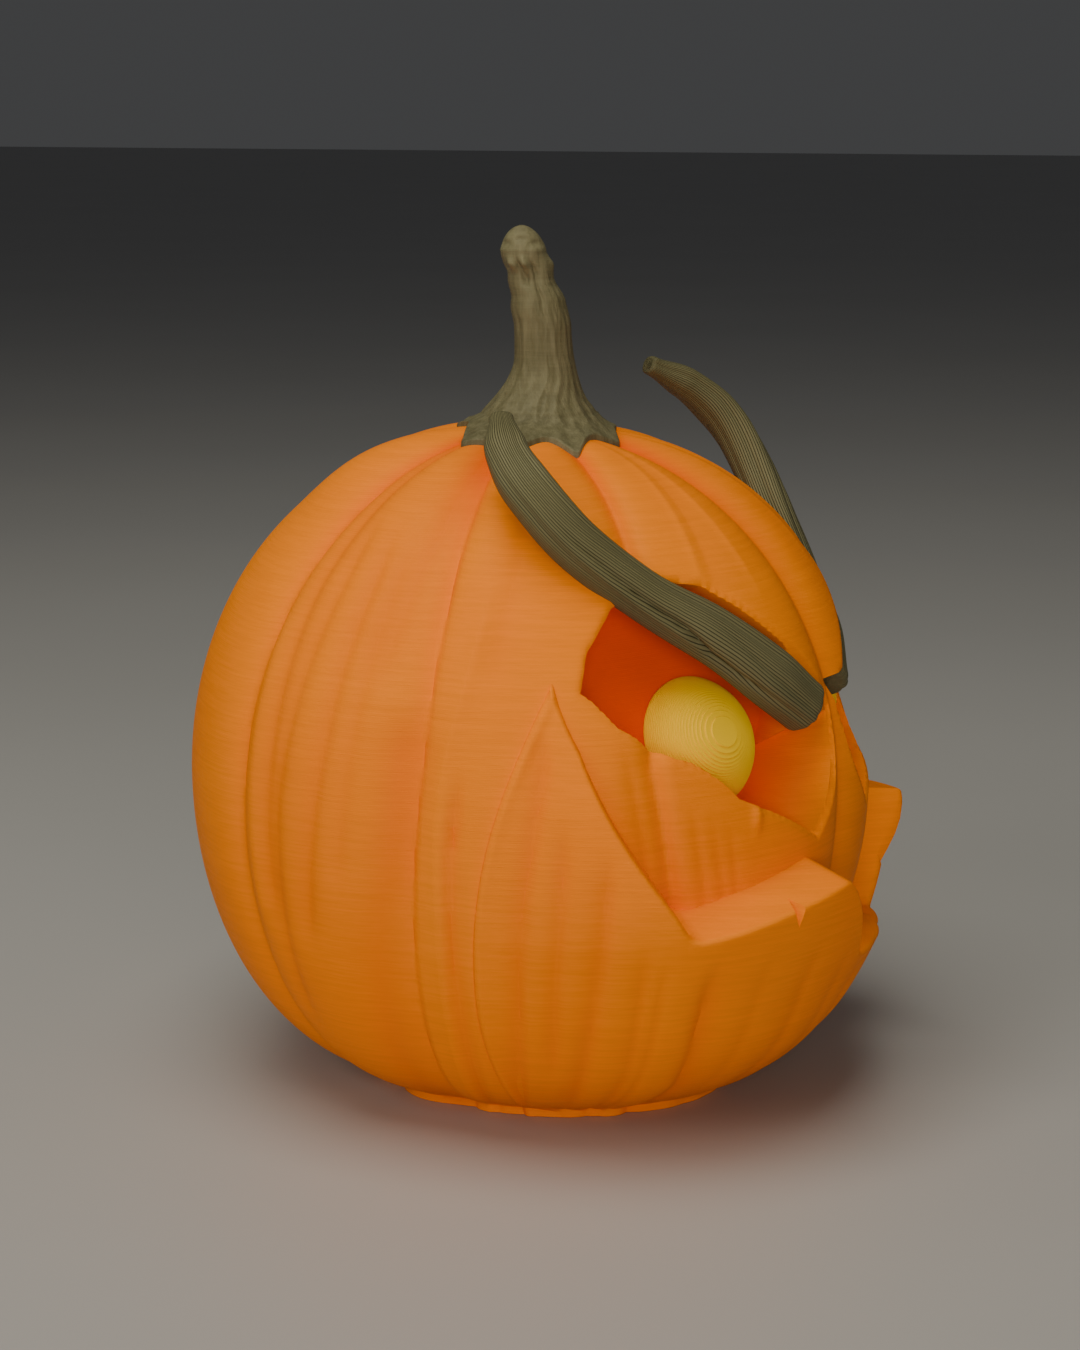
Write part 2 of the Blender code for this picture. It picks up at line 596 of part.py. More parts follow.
def pumpkin_body(material):
    """The body in one piece: ribs, jaw, sockets, seats for the brows and the stem, flat underside."""
    body = mesh_object("pumpkin_body", ribbed_body(), material)
    jaw = as_cutter(mesh_object("jaw_shell", jaw_shell()))
    add_boolean(body, jaw, "UNION", "jaw")
    for number, chip in enumerate(TOOTH_CHIPS, start=1):
        add_boolean(body, chip_cutter(number, *chip), "DIFFERENCE", f"tooth_chip_{number}")
    add_boolean(body, socket_cutter(False), "DIFFERENCE", "socket_right")
    add_boolean(body, socket_cutter(True), "DIFFERENCE", "socket_left")
    add_boolean(body, as_cutter(brow("brow_right_seat", None, False, FIT_GAP)), "DIFFERENCE", "brow_right_seat")
    add_boolean(body, as_cutter(brow("brow_left_seat", None, True, FIT_GAP)), "DIFFERENCE", "brow_left_seat")
    add_boolean(body, as_cutter(stem("stem_seat", None, FIT_GAP)), "DIFFERENCE", "stem_seat")
    add_boolean(body, floor_cutter(), "DIFFERENCE", "underside")
    return body


def main():
    """Clear the scene and build every piece."""
    for old in list(bpy.data.objects):
        bpy.data.objects.remove(old, do_unlink=True)
    orange = plastic("orange_plastic", (0.90, 0.22, 0.012), 0.45)
    olive = plastic("olive_plastic", (0.105, 0.092, 0.045), 0.5)
    olive_stem = plastic("stem_plastic", (0.17, 0.15, 0.075), 0.5)
    yellow = plastic("yellow_plastic", (0.90, 0.58, 0.035), 0.4)
    pumpkin_body(orange)
    stem("stem", olive_stem)
    brow("brow_right", olive, False)
    brow("brow_left", olive, True)
    eye_dome("eye_right", yellow, False)
    eye_dome("eye_left", yellow, True)


main()
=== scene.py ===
"""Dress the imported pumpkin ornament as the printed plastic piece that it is.

The face looks along -Y and +Z is up. Sizes are millimetres here and metres in the meshes. Angles round
the body are degrees from the middle of the face, positive towards +X.
"""

import logging
import math
from dataclasses import dataclass, field
from enum import Enum
from typing import Callable

import bmesh
import bpy
import numpy as np
from mathutils import Matrix, Vector


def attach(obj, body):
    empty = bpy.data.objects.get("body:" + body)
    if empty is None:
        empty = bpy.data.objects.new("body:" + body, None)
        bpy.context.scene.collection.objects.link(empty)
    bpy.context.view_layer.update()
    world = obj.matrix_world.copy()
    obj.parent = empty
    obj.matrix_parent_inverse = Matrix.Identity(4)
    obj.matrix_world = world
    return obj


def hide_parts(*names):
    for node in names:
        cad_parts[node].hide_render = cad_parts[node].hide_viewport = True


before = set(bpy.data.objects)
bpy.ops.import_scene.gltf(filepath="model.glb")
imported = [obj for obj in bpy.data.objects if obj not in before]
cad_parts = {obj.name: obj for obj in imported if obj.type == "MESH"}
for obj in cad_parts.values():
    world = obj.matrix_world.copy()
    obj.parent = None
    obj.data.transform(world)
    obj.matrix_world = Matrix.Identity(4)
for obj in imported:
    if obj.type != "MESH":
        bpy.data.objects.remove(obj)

MM = 0.001
BODY_NAME = "root"
LOG = logging.getLogger("pumpkin")

# Millimetres over which a valley fades out beyond each end.
FADE = 9.0
# Valleys nearer to the middle of the face than this many degrees have no mirror image.
MIDDLE = 2.0
# Depth in millimetres of a fold that gets the full painted fold shade.
FULL_FOLD_SHADE = 1.1

Knots = tuple[tuple[float, float], ...]
Place = Callable[[np.ndarray, np.ndarray], np.ndarray]


class Side(Enum):
    """The two sides of the face, by the sign of their X."""

    RIGHT = -1.0
    LEFT = 1.0

    @property
    def word(self) -> str:
        """The side's name as it stands in the names of pieces."""
        return self.name.lower()


def ease(value: np.ndarray | float, low: float, high: float) -> np.ndarray:
    """Rise smoothly from 0 to 1.

    Args:
        value: Where to read the curve.
        low: Where it leaves 0.
        high: Where it reaches 1.

    Returns:
        The eased share at each value.
    """
    share = np.clip((np.asarray(value, dtype=float) - low) / (high - low), 0.0, 1.0)
    return share * share * (3.0 - 2.0 * share)


def follow(knots: Knots, value: np.ndarray | float) -> np.ndarray:
    """Read a broken line through (place, value) pairs.

    Args:
        knots: The pairs, in rising order of place.
        value: Where to read the line.

    Returns:
        The line's value at each place.
    """
    places, values = zip(*knots)
    return np.interp(value, places, values)


def glide(knots: Knots, value: np.ndarray | float) -> np.ndarray:
    """Read a line through (place, value) pairs that is eased between them.

    Args:
        knots: The pairs, in rising order of place.
        value: Where to read the line.

    Returns:
        The line's value at each place.
    """
    value = np.asarray(value, dtype=float)
    total = np.full(value.shape, float(knots[0][1]))
    for (low, first), (high, second) in zip(knots, knots[1:]):
        total = total + (second - first) * ease(value, low, high)
    return total


def turn_apart(angle: np.ndarray | float, centre: np.ndarray | float) -> np.ndarray:
    """Signed difference of two angles in degrees, between -180 and 180."""
    return (np.asarray(angle) - centre + 180.0) % 360.0 - 180.0


def around(angle: np.ndarray, radius: np.ndarray, height: np.ndarray) -> np.ndarray:
    """Points at angles from the face's middle, radii and heights, one point a row."""
    turn = np.radians(angle)
    return np.stack([radius * np.sin(turn), -radius * np.cos(turn), height], axis=-1)


def turned(points: np.ndarray) -> np.ndarray:
    """Angles of points round the body's axis, in degrees from the middle of the face."""
    return np.degrees(np.arctan2(points[:, 0], -points[:, 1]))


def between(stops: np.ndarray, angle: np.ndarray) -> tuple[np.ndarray, np.ndarray]:
    """Find the gap between a ring's stops that each angle lies in.

    Args:
        stops: Rising angles in degrees; the last is the first plus 360.
        angle: Angles in degrees.

    Returns:
        The number of the stop before each angle, and the share of the way to the next.
    """
    place = (np.asarray(angle) - stops[0]) % 360.0 + stops[0]
    index = np.clip(np.searchsorted(stops, place, side="right") - 1, 0, len(stops) - 2)
    return index, (place - stops[index]) / (stops[index + 1] - stops[index])


def read_points(work: bmesh.types.BMesh) -> np.ndarray:
    """Places of a mesh's corners in millimetres, in the mesh's own order."""
    return np.array([vert.co[:] for vert in work.verts]) / MM


def write_points(work: bmesh.types.BMesh, points: np.ndarray) -> None:
    """Move a mesh's corners, in the mesh's own order, to places in millimetres."""
    for vert, point in zip(work.verts, points * MM):
        vert.co = point


def sheet(columns: int, rows: int, place: Place) -> bmesh.types.BMesh:
    """Lay a grid and move its corners onto a surface.

    Args:
        columns: Number of corners across.
        rows: Number of corners up.
        place: Gives points in millimetres from column and row numbers.

    Returns:
        The open sheet.
    """
    work = bmesh.new()
    bmesh.ops.create_grid(work, x_segments=columns - 1, y_segments=rows - 1, size=0.5)
    flat = np.array([vert.co[:2] for vert in work.verts]) + 0.5
    column = np.rint(flat[:, 0] * (columns - 1)).astype(int)
    row = np.rint(flat[:, 1] * (rows - 1)).astype(int)
    write_points(work, place(column, row))
    return work


def spun(profile: np.ndarray, steps: int) -> bmesh.types.BMesh:
    """Spin a profile once round the upright axis.

    Args:
        profile: Its points in millimetres, one a row.
        steps: Number of steps round.

    Returns:
        The mesh.
    """
    work = bmesh.new()
    chain = [work.verts.new(point) for point in profile * MM]
    edges = [work.edges.new(pair) for pair in zip(chain, chain[1:])]
    bmesh.ops.spin(work, geom=chain + edges, cent=(0, 0, 0), axis=(0, 0, 1), angle=2.0 * math.pi,
                   steps=steps, use_merge=True)
    return work


def close_ends(work: bmesh.types.BMesh, reach: float = 2e-6) -> None:
    """Merge a tube's seam and close every opening that is left with a cap.

    Args:
        work: The mesh.
        reach: Corners nearer than this many metres become one.
    """
    bmesh.ops.remove_doubles(work, verts=work.verts, dist=reach)
    bmesh.ops.dissolve_degenerate(work, edges=work.edges, dist=reach / 2.0)
    rim = [edge for edge in work.edges if edge.is_boundary]
    if rim:
        bmesh.ops.holes_fill(work, edges=rim)


def cut_flat(work: bmesh.types.BMesh) -> None:
    """Cut a closed mesh off at the floor and close the cut.

    Args:
        work: The mesh.
    """
    geometry = work.verts[:] + work.edges[:] + work.faces[:]
    bmesh.ops.bisect_plane(work, geom=geometry, plane_co=(0, 0, 0), plane_no=(0, 0, -1), clear_outer=True)
    rim = [edge for edge in work.edges if edge.is_boundary]
    bmesh.ops.holes_fill(work, edges=rim)


def loft(low: np.ndarray, high: np.ndarray) -> bmesh.types.BMesh:
    """Closed solid between two outlines with as many corners.

    Args:
        low: Corners of the first outline in millimetres.
        high: Corners of the second.

    Returns:
        The solid.
    """
    work = bmesh.new()
    loops = []
    for outline in (low, high):
        made = bmesh.ops.create_circle(work, segments=len(outline), radius=1.0)["verts"]
        for vert, point in zip(made, outline * MM):
            vert.co = point
        edges = {edge for vert in made for edge in vert.link_edges}
        bmesh.ops.contextual_create(work, geom=list(edges))
        loops.extend(edges)
    bmesh.ops.bridge_loops(work, edges=loops)
    bmesh.ops.recalc_face_normals(work, faces=work.faces)
    bmesh.ops.triangulate(work, faces=work.faces)
    return work


def finished(name: str, work: bmesh.types.BMesh, soft_edge: float = 40.0) -> bpy.types.Object:
    """Make an object from a mesh, smooth but for its sharp edges.

    Args:
        name: The object's name.
        work: The mesh, which is used up.
        soft_edge: Edges that turn by less than this many degrees are shaded round.

    Returns:
        The object, at the origin.
    """
    work.normal_update()
    bmesh.ops.recalc_face_normals(work, faces=work.faces)
    mesh = bpy.data.meshes.new(name)
    work.to_mesh(mesh)
    work.free()
    mesh.shade_smooth()
    mesh.set_sharp_from_angle(angle=math.radians(soft_edge))
    made = bpy.data.objects.new(name, mesh)
    bpy.context.scene.collection.objects.link(made)
    return made


def carved(target: bpy.types.Object, cutters: list[bpy.types.Object], soft_edge: float) -> None:
    """Cut other solids out of an object for good.

    Args:
        target: The object that is cut.
        cutters: The solids, which are used up.
        soft_edge: Edges that turn by less than this many degrees are shaded round.
    """
    for cutter in cutters:
        modifier = target.modifiers.new(cutter.name, "BOOLEAN")
        modifier.operation = "DIFFERENCE"
        modifier.solver = "EXACT"
        modifier.object = cutter
    old = target.data
    solved = target.evaluated_get(bpy.context.evaluated_depsgraph_get())
    target.data = bpy.data.meshes.new_from_object(solved)
    target.modifiers.clear()
    target.data.name = old.name
    bpy.data.meshes.remove(old)
    for cutter in cutters:
        bpy.data.meshes.remove(cutter.data)
    target.data.shade_smooth()
    target.data.set_sharp_from_angle(angle=math.radians(soft_edge))


def corners(piece: bpy.types.Object) -> np.ndarray:
    """Places of a piece's corners in millimetres, one a row."""
    flat = np.empty(len(piece.data.vertices) * 3)
    piece.data.vertices.foreach_get("co", flat)
    return flat.reshape(-1, 3) / MM


def mark(piece: bpy.types.Object, name: str, values: np.ndarray) -> None:
    """Store one value for each corner of a piece, for its finish to read."""
    piece.data.attributes.new(name, "FLOAT", "POINT").data.foreach_set("value", values.astype(np.float32))


def hand_over(piece: bpy.types.Object, node: str, material: bpy.types.Material) -> None:
    """Finish a piece: its material, its place on the frame and the node that it stands for.

    Args:
        piece: The finished piece.
        node: The CAD node that it replaces.
        material: Its material.
    """
    piece.data.materials.clear()
    piece.data.materials.append(material)
    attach(piece, BODY_NAME)
    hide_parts(node)
    LOG.info("%s: %d faces", piece.name, len(piece.data.polygons))


@dataclass(frozen=True)
class Valley:
    """A long crease or fold that runs up the skin, or with a negative depth a ridge."""

    path: Knots
    depth: float
    left: float
    right: float
    low: float = -40.0
    high: float = 140.0
    sharpness: float = 1.4

    def inset(self, angle: np.ndarray, height: np.ndarray, radius: np.ndarray) -> np.ndarray:
        """Depth of the valley at places on the skin.

        Args:
            angle: Angles in degrees.
            height: Heights in millimetres.
            radius: Radii of the skin there.

        Returns:
            Depths in millimetres.
        """
        apart = np.radians(turn_apart(angle, follow(self.path, height))) * radius
        width = np.where(apart < 0.0, self.left, self.right)
        rising = ease(height, self.low - FADE, self.low)
        fade = rising * (1.0 - ease(height, self.high, self.high + FADE))
        return self.depth * fade * np.exp(-(np.abs(apart) / width) ** self.sharpness)

    def mirrored(self) -> "Valley":
        """The same valley on the other side of the face."""
        path = tuple((height, -angle) for height, angle in self.path)
        return Valley(path, self.depth, self.right, self.left, self.low, self.high, self.sharpness)


CREASES = (
    Valley(((0.0, 0.0), (98.0, 0.0)), 1.9, 4.0, 4.0),
    Valley(((30.0, -40.6), (37.0, -41.6), (57.0, -45.4), (70.0, -44.0), (98.0, -41.0)), 1.5, 2.2, 1.3),
    Valley(((10.0, -85.4), (30.0, -84.7), (45.0, -83.7), (60.0, -82.2), (75.0, -81.2), (90.0, -80.4)),
           1.9, 4.2, 1.2, sharpness=1.1),
    Valley(((0.0, -120.0), (40.0, -120.8), (60.0, -120.3), (80.0, -119.2), (95.0, -117.5)), 1.9, 3.0, 2.4,
           sharpness=1.1),
    Valley(((0.0, -160.0), (98.0, -160.0)), 1.9, 3.0, 3.0, sharpness=1.1),
)

FOLDS = (
    Valley(((45.0, -112.0), (60.0, -111.5), (80.0, -111.0), (95.0, -109.0)), 0.75, 2.0, 1.6, low=38.0),
    Valley(((40.0, -115.5), (65.0, -115.6)), -0.35, 2.0, 2.0, low=36.0, high=68.0),
    Valley(((20.0, -110.5), (50.0, -109.0), (60.0, -107.6), (80.0, -104.5)), 0.65, 2.0, 1.4,
           low=22.0, high=82.0),
    Valley(((30.0, -104.0), (40.0, -102.6), (50.0, -101.0), (60.0, -99.6), (80.0, -97.5)), 0.85, 2.2, 1.5,
           low=36.0, high=80.0),
    Valley(((30.0, -97.5), (55.0, -95.0), (80.0, -92.6)), 0.55, 2.0, 1.6, low=45.0, high=80.0),
    Valley(((70.0, -90.6), (88.0, -87.0)), 0.65, 3.0, 2.4, low=74.0),
    Valley(((8.0, -93.5), (20.0, -92.0), (30.0, -90.4), (40.0, -88.3), (50.0, -86.8), (62.0, -85.8)),
           1.15, 3.8, 4.6, high=58.0),
    Valley(((30.0, -84.0), (50.0, -82.4), (80.0, -80.0)), -0.35, 0.7, 0.9),
    Valley(((20.0, -79.6), (50.0, -79.4), (60.0, -78.0), (68.0, -75.6), (78.0, -73.0)), -0.45, 1.1, 1.3,
           high=74.0),
    Valley(((10.0, -77.0), (30.0, -77.3), (45.0, -77.2), (58.0, -75.6)), 0.95, 0.9, 0.8,
           low=6.0, high=50.0),
    Valley(((10.0, -75.6), (30.0, -75.8), (45.0, -75.2)), 0.25, 0.4, 0.4, high=40.0),
    Valley(((70.0, -71.0), (90.0, -66.0)), 0.35, 2.2, 2.2, low=74.0),
    Valley(((45.0, -47.0), (60.0, -50.0)), 0.40, 1.3, 1.1, low=45.0, high=54.0),
    Valley(((36.0, -36.0), (57.0, -40.6)), 0.30, 1.2, 0.9, high=45.0),
    Valley(((36.0, -32.6), (56.0, -37.4)), 0.26, 1.1, 0.9, high=43.0),
    Valley(((36.0, -30.2), (54.0, -33.8)), 0.22, 0.9, 0.9, high=42.0),
    Valley(((70.0, -33.0), (82.0, -29.0), (95.0, -25.0)), -0.20, 0.8, 1.8, low=84.0, high=92.0),
    Valley(((70.0, -30.0), (82.0, -26.0), (95.0, -22.0)), 0.30, 2.2, 3.0, low=83.0),
    Valley(((80.0, -140.0), (98.0, -140.0)), -1.3, 9.0, 9.0, low=95.0, sharpness=2.0),
    Valley(((60.0, -15.0), (80.0, -16.0), (95.0, -18.0)), -0.18, 0.8, 1.6, low=84.0, high=92.0),
)

FAR_CHEEK = Valley(((40.0, 30.0), (60.0, 34.0)), 1.7, 8.0, 8.0, low=46.0, high=56.0, sharpness=2.0)

JAW_VALLEYS = (
    Valley(((15.0, -66.9), (30.0, -66.6), (40.0, -65.8), (50.0, -64.1), (58.0, -62.7)), 0.95, 1.9, 0.7,
           high=56.0),
    Valley(((15.0, -60.6), (28.0, -61.0), (45.0, -60.1)), 0.80, 1.4, 0.7, low=18.0, high=44.0),
    Valley(((10.0, -55.1), (30.0, -54.5), (42.0, -54.0)), 0.85, 1.8, 0.7, low=8.0, high=40.0),
    Valley(((12.0, -47.0), (28.0, -48.3)), 0.55, 1.3, 0.8, high=28.0),
    Valley(((8.0, -44.0), (28.0, -45.4)), 0.40, 0.8, 0.6, high=26.0),
    Valley(((8.0, -34.6), (12.0, -36.0), (20.0, -37.5), (28.0, -38.2)), 1.25, 1.1, 2.2,
           high=24.0, sharpness=1.2),
    Valley(((5.0, -27.0), (25.0, -29.0)), 0.25, 1.6, 1.6, high=24.0),
    Valley(((5.0, -17.0), (25.0, -19.0)), 0.35, 1.8, 1.4, high=24.0),
    Valley(((5.0, -8.0), (25.0, -9.0)), 0.25, 1.6, 1.6, high=20.0),
    Valley(((0.0, 1.5), (25.0, 0.5)), 1.0, 1.6, 1.6, high=16.0, sharpness=1.2),
)


def both_sides(valleys: tuple[Valley, ...]) -> tuple[Valley, ...]:
    """The given valleys and, for those away from the middle, their mirror images."""
    return valleys + tuple(item.mirrored() for item in valleys if abs(item.path[0][1]) > MIDDLE)


def folded(valleys: tuple[Valley, ...], angle: np.ndarray, height: np.ndarray, radius: np.ndarray
           ) -> np.ndarray:
    """Share of painted fold shade at places, from 0 on a lobe to 1 at the bottom of a deep fold.

    Args:
        valleys: The folds.
        angle: Angles in degrees.
        height: Heights in millimetres.
        radius: Radii of the plain skin there.

    Returns:
        The shares.
    """
    depth = sum(valley.inset(angle, height, radius) for valley in valleys)
    return np.clip(depth / FULL_FOLD_SHADE, 0.0, 1.0)


@dataclass(frozen=True)
class Skin:
    """The ribbed form of the body, from its plain profile and its creases and folds."""

    radius: float = 50.9
    waist: float = 47.0
    rise: float = 51.3
    drop: float = 48.5
    top_fullness: float = 0.85
    bottom_fullness: float = 0.66
    foot: float = 1.3
    lobe_swell: float = 0.45
    lobe_edges: tuple[float, ...] = (-160.0, -119.0, -81.0, -41.0, 0.0, 41.0, 81.0, 119.0, 160.0)
    top_growth: float = 0.7
    axis_fade: float = 0.6
    valleys: tuple[Valley, ...] = field(default_factory=lambda: both_sides(CREASES + FOLDS) + (FAR_CHEEK,))

    def profile(self, height: np.ndarray) -> np.ndarray:
        """Radius of the plain profile.

        Args:
            height: Heights in millimetres.

        Returns:
            The radii in millimetres.
        """
        height = np.asarray(height, dtype=float)
        above = np.clip((height - self.waist) / self.rise, 0.0, 1.0)
        below = np.clip((self.waist - np.maximum(height, self.foot)) / self.drop, 0.0, 1.0)
        upper = (1.0 - above ** 2) ** (self.top_fullness / 2.0)
        lower = (1.0 - below ** 2) ** (self.bottom_fullness / 2.0)
        return self.radius * np.where(height >= self.waist, upper, lower)

    def lobe_share(self, angle: np.ndarray) -> np.ndarray:
        """How far angles lie across their lobe, from 0 at one crease to 1 at the next."""
        return between(np.array(self.lobe_edges + (self.lobe_edges[0] + 360.0,)), angle)[1]

    def inset(self, angle: np.ndarray, height: np.ndarray) -> np.ndarray:
        """Depth of the creases and folds below the plain profile.

        Args:
            angle: Angles in degrees.
            height: Heights in millimetres.

        Returns:
            Depths in millimetres.
        """
        radius = self.profile(height)
        above = np.clip((height - self.waist) / self.rise, 0.0, 1.0)
        swell = self.lobe_swell * (1.0 - np.sin(np.pi * self.lobe_share(angle)))
        total = swell + sum(valley.inset(angle, height, radius) for valley in self.valleys)
        near_axis = (radius / self.radius) ** self.axis_fade
        return total * (1.0 + self.top_growth * above ** 3) * near_axis

    def place(self, angle: np.ndarray, height: np.ndarray, proud: np.ndarray | float = 0.0) -> np.ndarray:
        """Points of the skin.

        Args:
            angle: Angles in degrees.
            height: Heights on the plain profile in millimetres.
            proud: How far out of the skin the points stand.

        Returns:
            The points in millimetres.
        """
        above = np.clip((height - self.waist) / self.rise, 0.0, 1.0)
        lean = np.arcsin(above) * above
        inset = self.inset(angle, height) - proud
        return around(angle, self.profile(height) - inset * np.cos(lean), height - inset * np.sin(lean))


@dataclass(frozen=True)
class Socket:
    """The space of one eye socket, square to the eye's axis."""

    angle: float = -28.5
    tilt: float = 24.0
    seat_radius: float = 39.2
    seat_height: float = 57.8
    lip: float = 0.9
    lip_share: float = 0.8
    far_off: float = 99.0
    # Each corner: across and up on the floor, then across, up and out at the wall's far end.
    outline: tuple[tuple[float, float, float, float, float], ...] = (
        (-22.2, 8.0, -22.2, 8.0, 20.0), (-18.4, 1.6, -18.4, 3.9, 20.0), (-11.4, -4.2, -11.4, -1.0, 20.0),
        (-4.8, -9.6, -4.8, -3.5, 20.0), (2.0, -12.4, 2.0, -10.6, 20.0), (3.6, -12.7, 41.0, -26.5, 10.4),
        (7.2, -8.0, 45.0, -11.6, 9.6), (9.0, -2.4, 45.0, 6.6, 12.0), (13.5, 4.5, 24.2, 2.7, 17.7),
        (11.4, 9.7, 11.4, 9.7, 20.0), (4.0, 15.9, 4.0, 15.9, 20.0), (-0.7, 19.5, -0.7, 19.5, 20.0),
        (-7.4, 21.3, -7.4, 21.3, 20.0), (-15.0, 18.5, -15.0, 18.5, 20.0), (-20.2, 13.0, -20.2, 13.0, 20.0))

    def axes(self) -> tuple[np.ndarray, np.ndarray]:
        """Find where the socket lies.

        Returns:
            The middle of its floor, and the directions across, up and out as rows.
        """
        turn, tilt = math.radians(self.angle), math.radians(self.tilt)
        out = np.array([math.sin(turn) * math.cos(tilt), -math.cos(turn) * math.cos(tilt), math.sin(tilt)])
        across = np.array([math.cos(turn), math.sin(turn), 0.0])
        reach = self.seat_radius
        centre = np.array([reach * math.sin(turn), -reach * math.cos(turn), self.seat_height])
        return centre, np.array([across, np.cross(out, across), out])

    def to_world(self, local: np.ndarray, side: Side) -> np.ndarray:
        """Turn places along the eye's own axes into places of the frame, in millimetres.

        Args:
            local: Distances across, up and out, one place a row.
            side: Which eye.

        Returns:
            The places.
        """
        centre, rows = self.axes()
        return (centre + local @ rows) * np.array([-side.value, 1.0, 1.0])

    def cutter(self, side: Side) -> bpy.types.Object:
        """The solid that cuts one socket.

        Args:
            side: Which eye.

        Returns:
            The solid, as an object.
        """
        table = np.array(self.outline)
        floor = np.column_stack([table[:, 0:2], np.zeros(len(table))])
        solid = loft(self.to_world(floor, side), self.to_world(table[:, 2:5], side))
        return finished(f"socket_{side.word}", solid)

    def beside(self, points: np.ndarray) -> np.ndarray:
        """Distance of points of the skin from the right-hand socket's wall, 0 inside it.

        Args:
            points: Places in millimetres.

        Returns:
            The distances in millimetres.
        """
        centre, rows = self.axes()
        local = (points - centre) @ rows.T
        table = np.array(self.outline)
        share = local[:, 2:3] / table[None, :, 4]
        wall = table[None, :, 0:2] + (table[None, :, 2:4] - table[None, :, 0:2]) * share[:, :, None]
        ends = np.roll(wall, -1, axis=1)
        along = ends - wall
        off = local[:, None, 0:2] - wall
        spot = np.clip((off * along).sum(2) / np.maximum((along ** 2).sum(2), 1e-9), 0.0, 1.0)
        distance = np.linalg.norm(off - along * spot[:, :, None], axis=2).min(1)
        crossing = (wall[:, :, 1] > local[:, None, 1]) != (ends[:, :, 1] > local[:, None, 1])
        rising = np.where(np.abs(along[:, :, 1]) < 1e-9, 1e-9, along[:, :, 1])
        reach = wall[:, :, 0] + (local[:, None, 1] - wall[:, :, 1]) * along[:, :, 0] / rising
        inside = (crossing & (local[:, None, 0] < reach)).sum(1) % 2 == 1
        return np.where(local[:, 2] < 0.0, self.far_off, np.where(inside, 0.0, distance))

    def rim_fall(self, points: np.ndarray) -> np.ndarray:
        """How far the skin falls in beside both sockets, which rounds their rims.

        Args:
            points: Places on the skin in millimetres.

        Returns:
            The distances in millimetres.
        """
        fall = np.zeros(len(points))
        for side in Side:
            near = self.beside(points * np.array([-side.value, 1.0, 1.0]))
            gap = np.clip(1.0 - near / self.lip, 0.0, 1.0)
            fall = np.maximum(fall, self.lip * (1.0 - np.sqrt(1.0 - gap ** 2)) * self.lip_share)
        return fall


@dataclass
class Body:
    """The ribbed body with its two sockets and its flat underside."""

    skin: Skin
    socket: Socket
    columns: int = 540
    rows: int = 172
    front_fineness: float = 20.0
    middle_fineness: float = 0.3
    nub_angle: float = -27.4
    nub_height: float = 49.0
    nub_size: float = 0.8
    nub_depth: float = 0.55
    nub_height_share: float = 0.45
    # Depths and heights between which the painted shade of the sockets sets in.
    deep: tuple[float, float] = (1.0, 8.0)
    deep_heights: tuple[float, float] = (36.0, 44.0)
    soft_edge: float = 52.0

    def mesh(self) -> bmesh.types.BMesh:
        """Spin the profile and press the creases, the folds and the rounded rims into it.

        Returns:
            The closed mesh.
        """
        lift = np.linspace(-math.pi / 2.0, math.pi / 2.0, self.rows + 1)
        lift = lift - self.middle_fineness * np.sin(2.0 * lift) / 2.0
        reach = np.where(lift > 0.0, self.skin.rise, self.skin.drop)
        height = self.skin.waist + reach * np.sin(lift)
        radius = self.skin.profile(height)
        radius[0] = radius[-1] = 0.0
        work = spun(np.column_stack([0.0 * radius, -radius, height]), self.columns)
        bmesh.ops.remove_doubles(work, verts=work.verts, dist=1e-6)
        points = read_points(work)
        angle = turned(points)
        angle = angle - self.front_fineness * np.sin(np.radians(angle))
        off_axis = np.hypot(points[:, 0], points[:, 1]) > 1e-3
        plain = self.skin.place(angle, points[:, 2])
        proud = self.nub(angle, points[:, 2]) - self.socket.rim_fall(plain)
        shaped = self.skin.place(angle, points[:, 2], proud)
        write_points(work, np.where(off_axis[:, None], shaped, points))
        cut_flat(work)
        return work

    def nub(self, angle: np.ndarray, height: np.ndarray) -> np.ndarray:
        """The small nub below the right eye.

        Args:
            angle: Angles in degrees.
            height: Heights in millimetres.

        Returns:
            How far the skin stands out.
        """
        across = np.radians(angle - self.nub_angle) * self.skin.radius
        up = (height - self.nub_height) * self.nub_height_share
        return self.nub_depth * np.exp(-(across ** 2 + up ** 2) / self.nub_size ** 2)

    def mark_tones(self, piece: bpy.types.Object) -> None:
        """Store painted shade at every corner: how deep it lies in a socket and in the folds, for the
        finish.

        Args:
            piece: The carved body.
        """
        points = corners(piece)
        height = points[:, 2]
        below = self.skin.profile(height) - np.hypot(points[:, 0], points[:, 1])
        # Painted shade: the finish turns redder deep in the sockets and in the folds.
        mark(piece, "deep", ease(below, *self.deep) * ease(height, *self.deep_heights))
        mark(piece, "fold", folded(both_sides(FOLDS), turned(points), height, self.skin.profile(height)))

    def build(self, finish: "PrintedPlastic") -> None:
        """Make the body.

        Args:
            finish: Its plastic.
        """
        piece = finished("pumpkin_skin", self.mesh())
        carved(piece, [self.socket.cutter(side) for side in Side], self.soft_edge)
        self.mark_tones(piece)
        hand_over(piece, "pumpkin_body", finish.material())


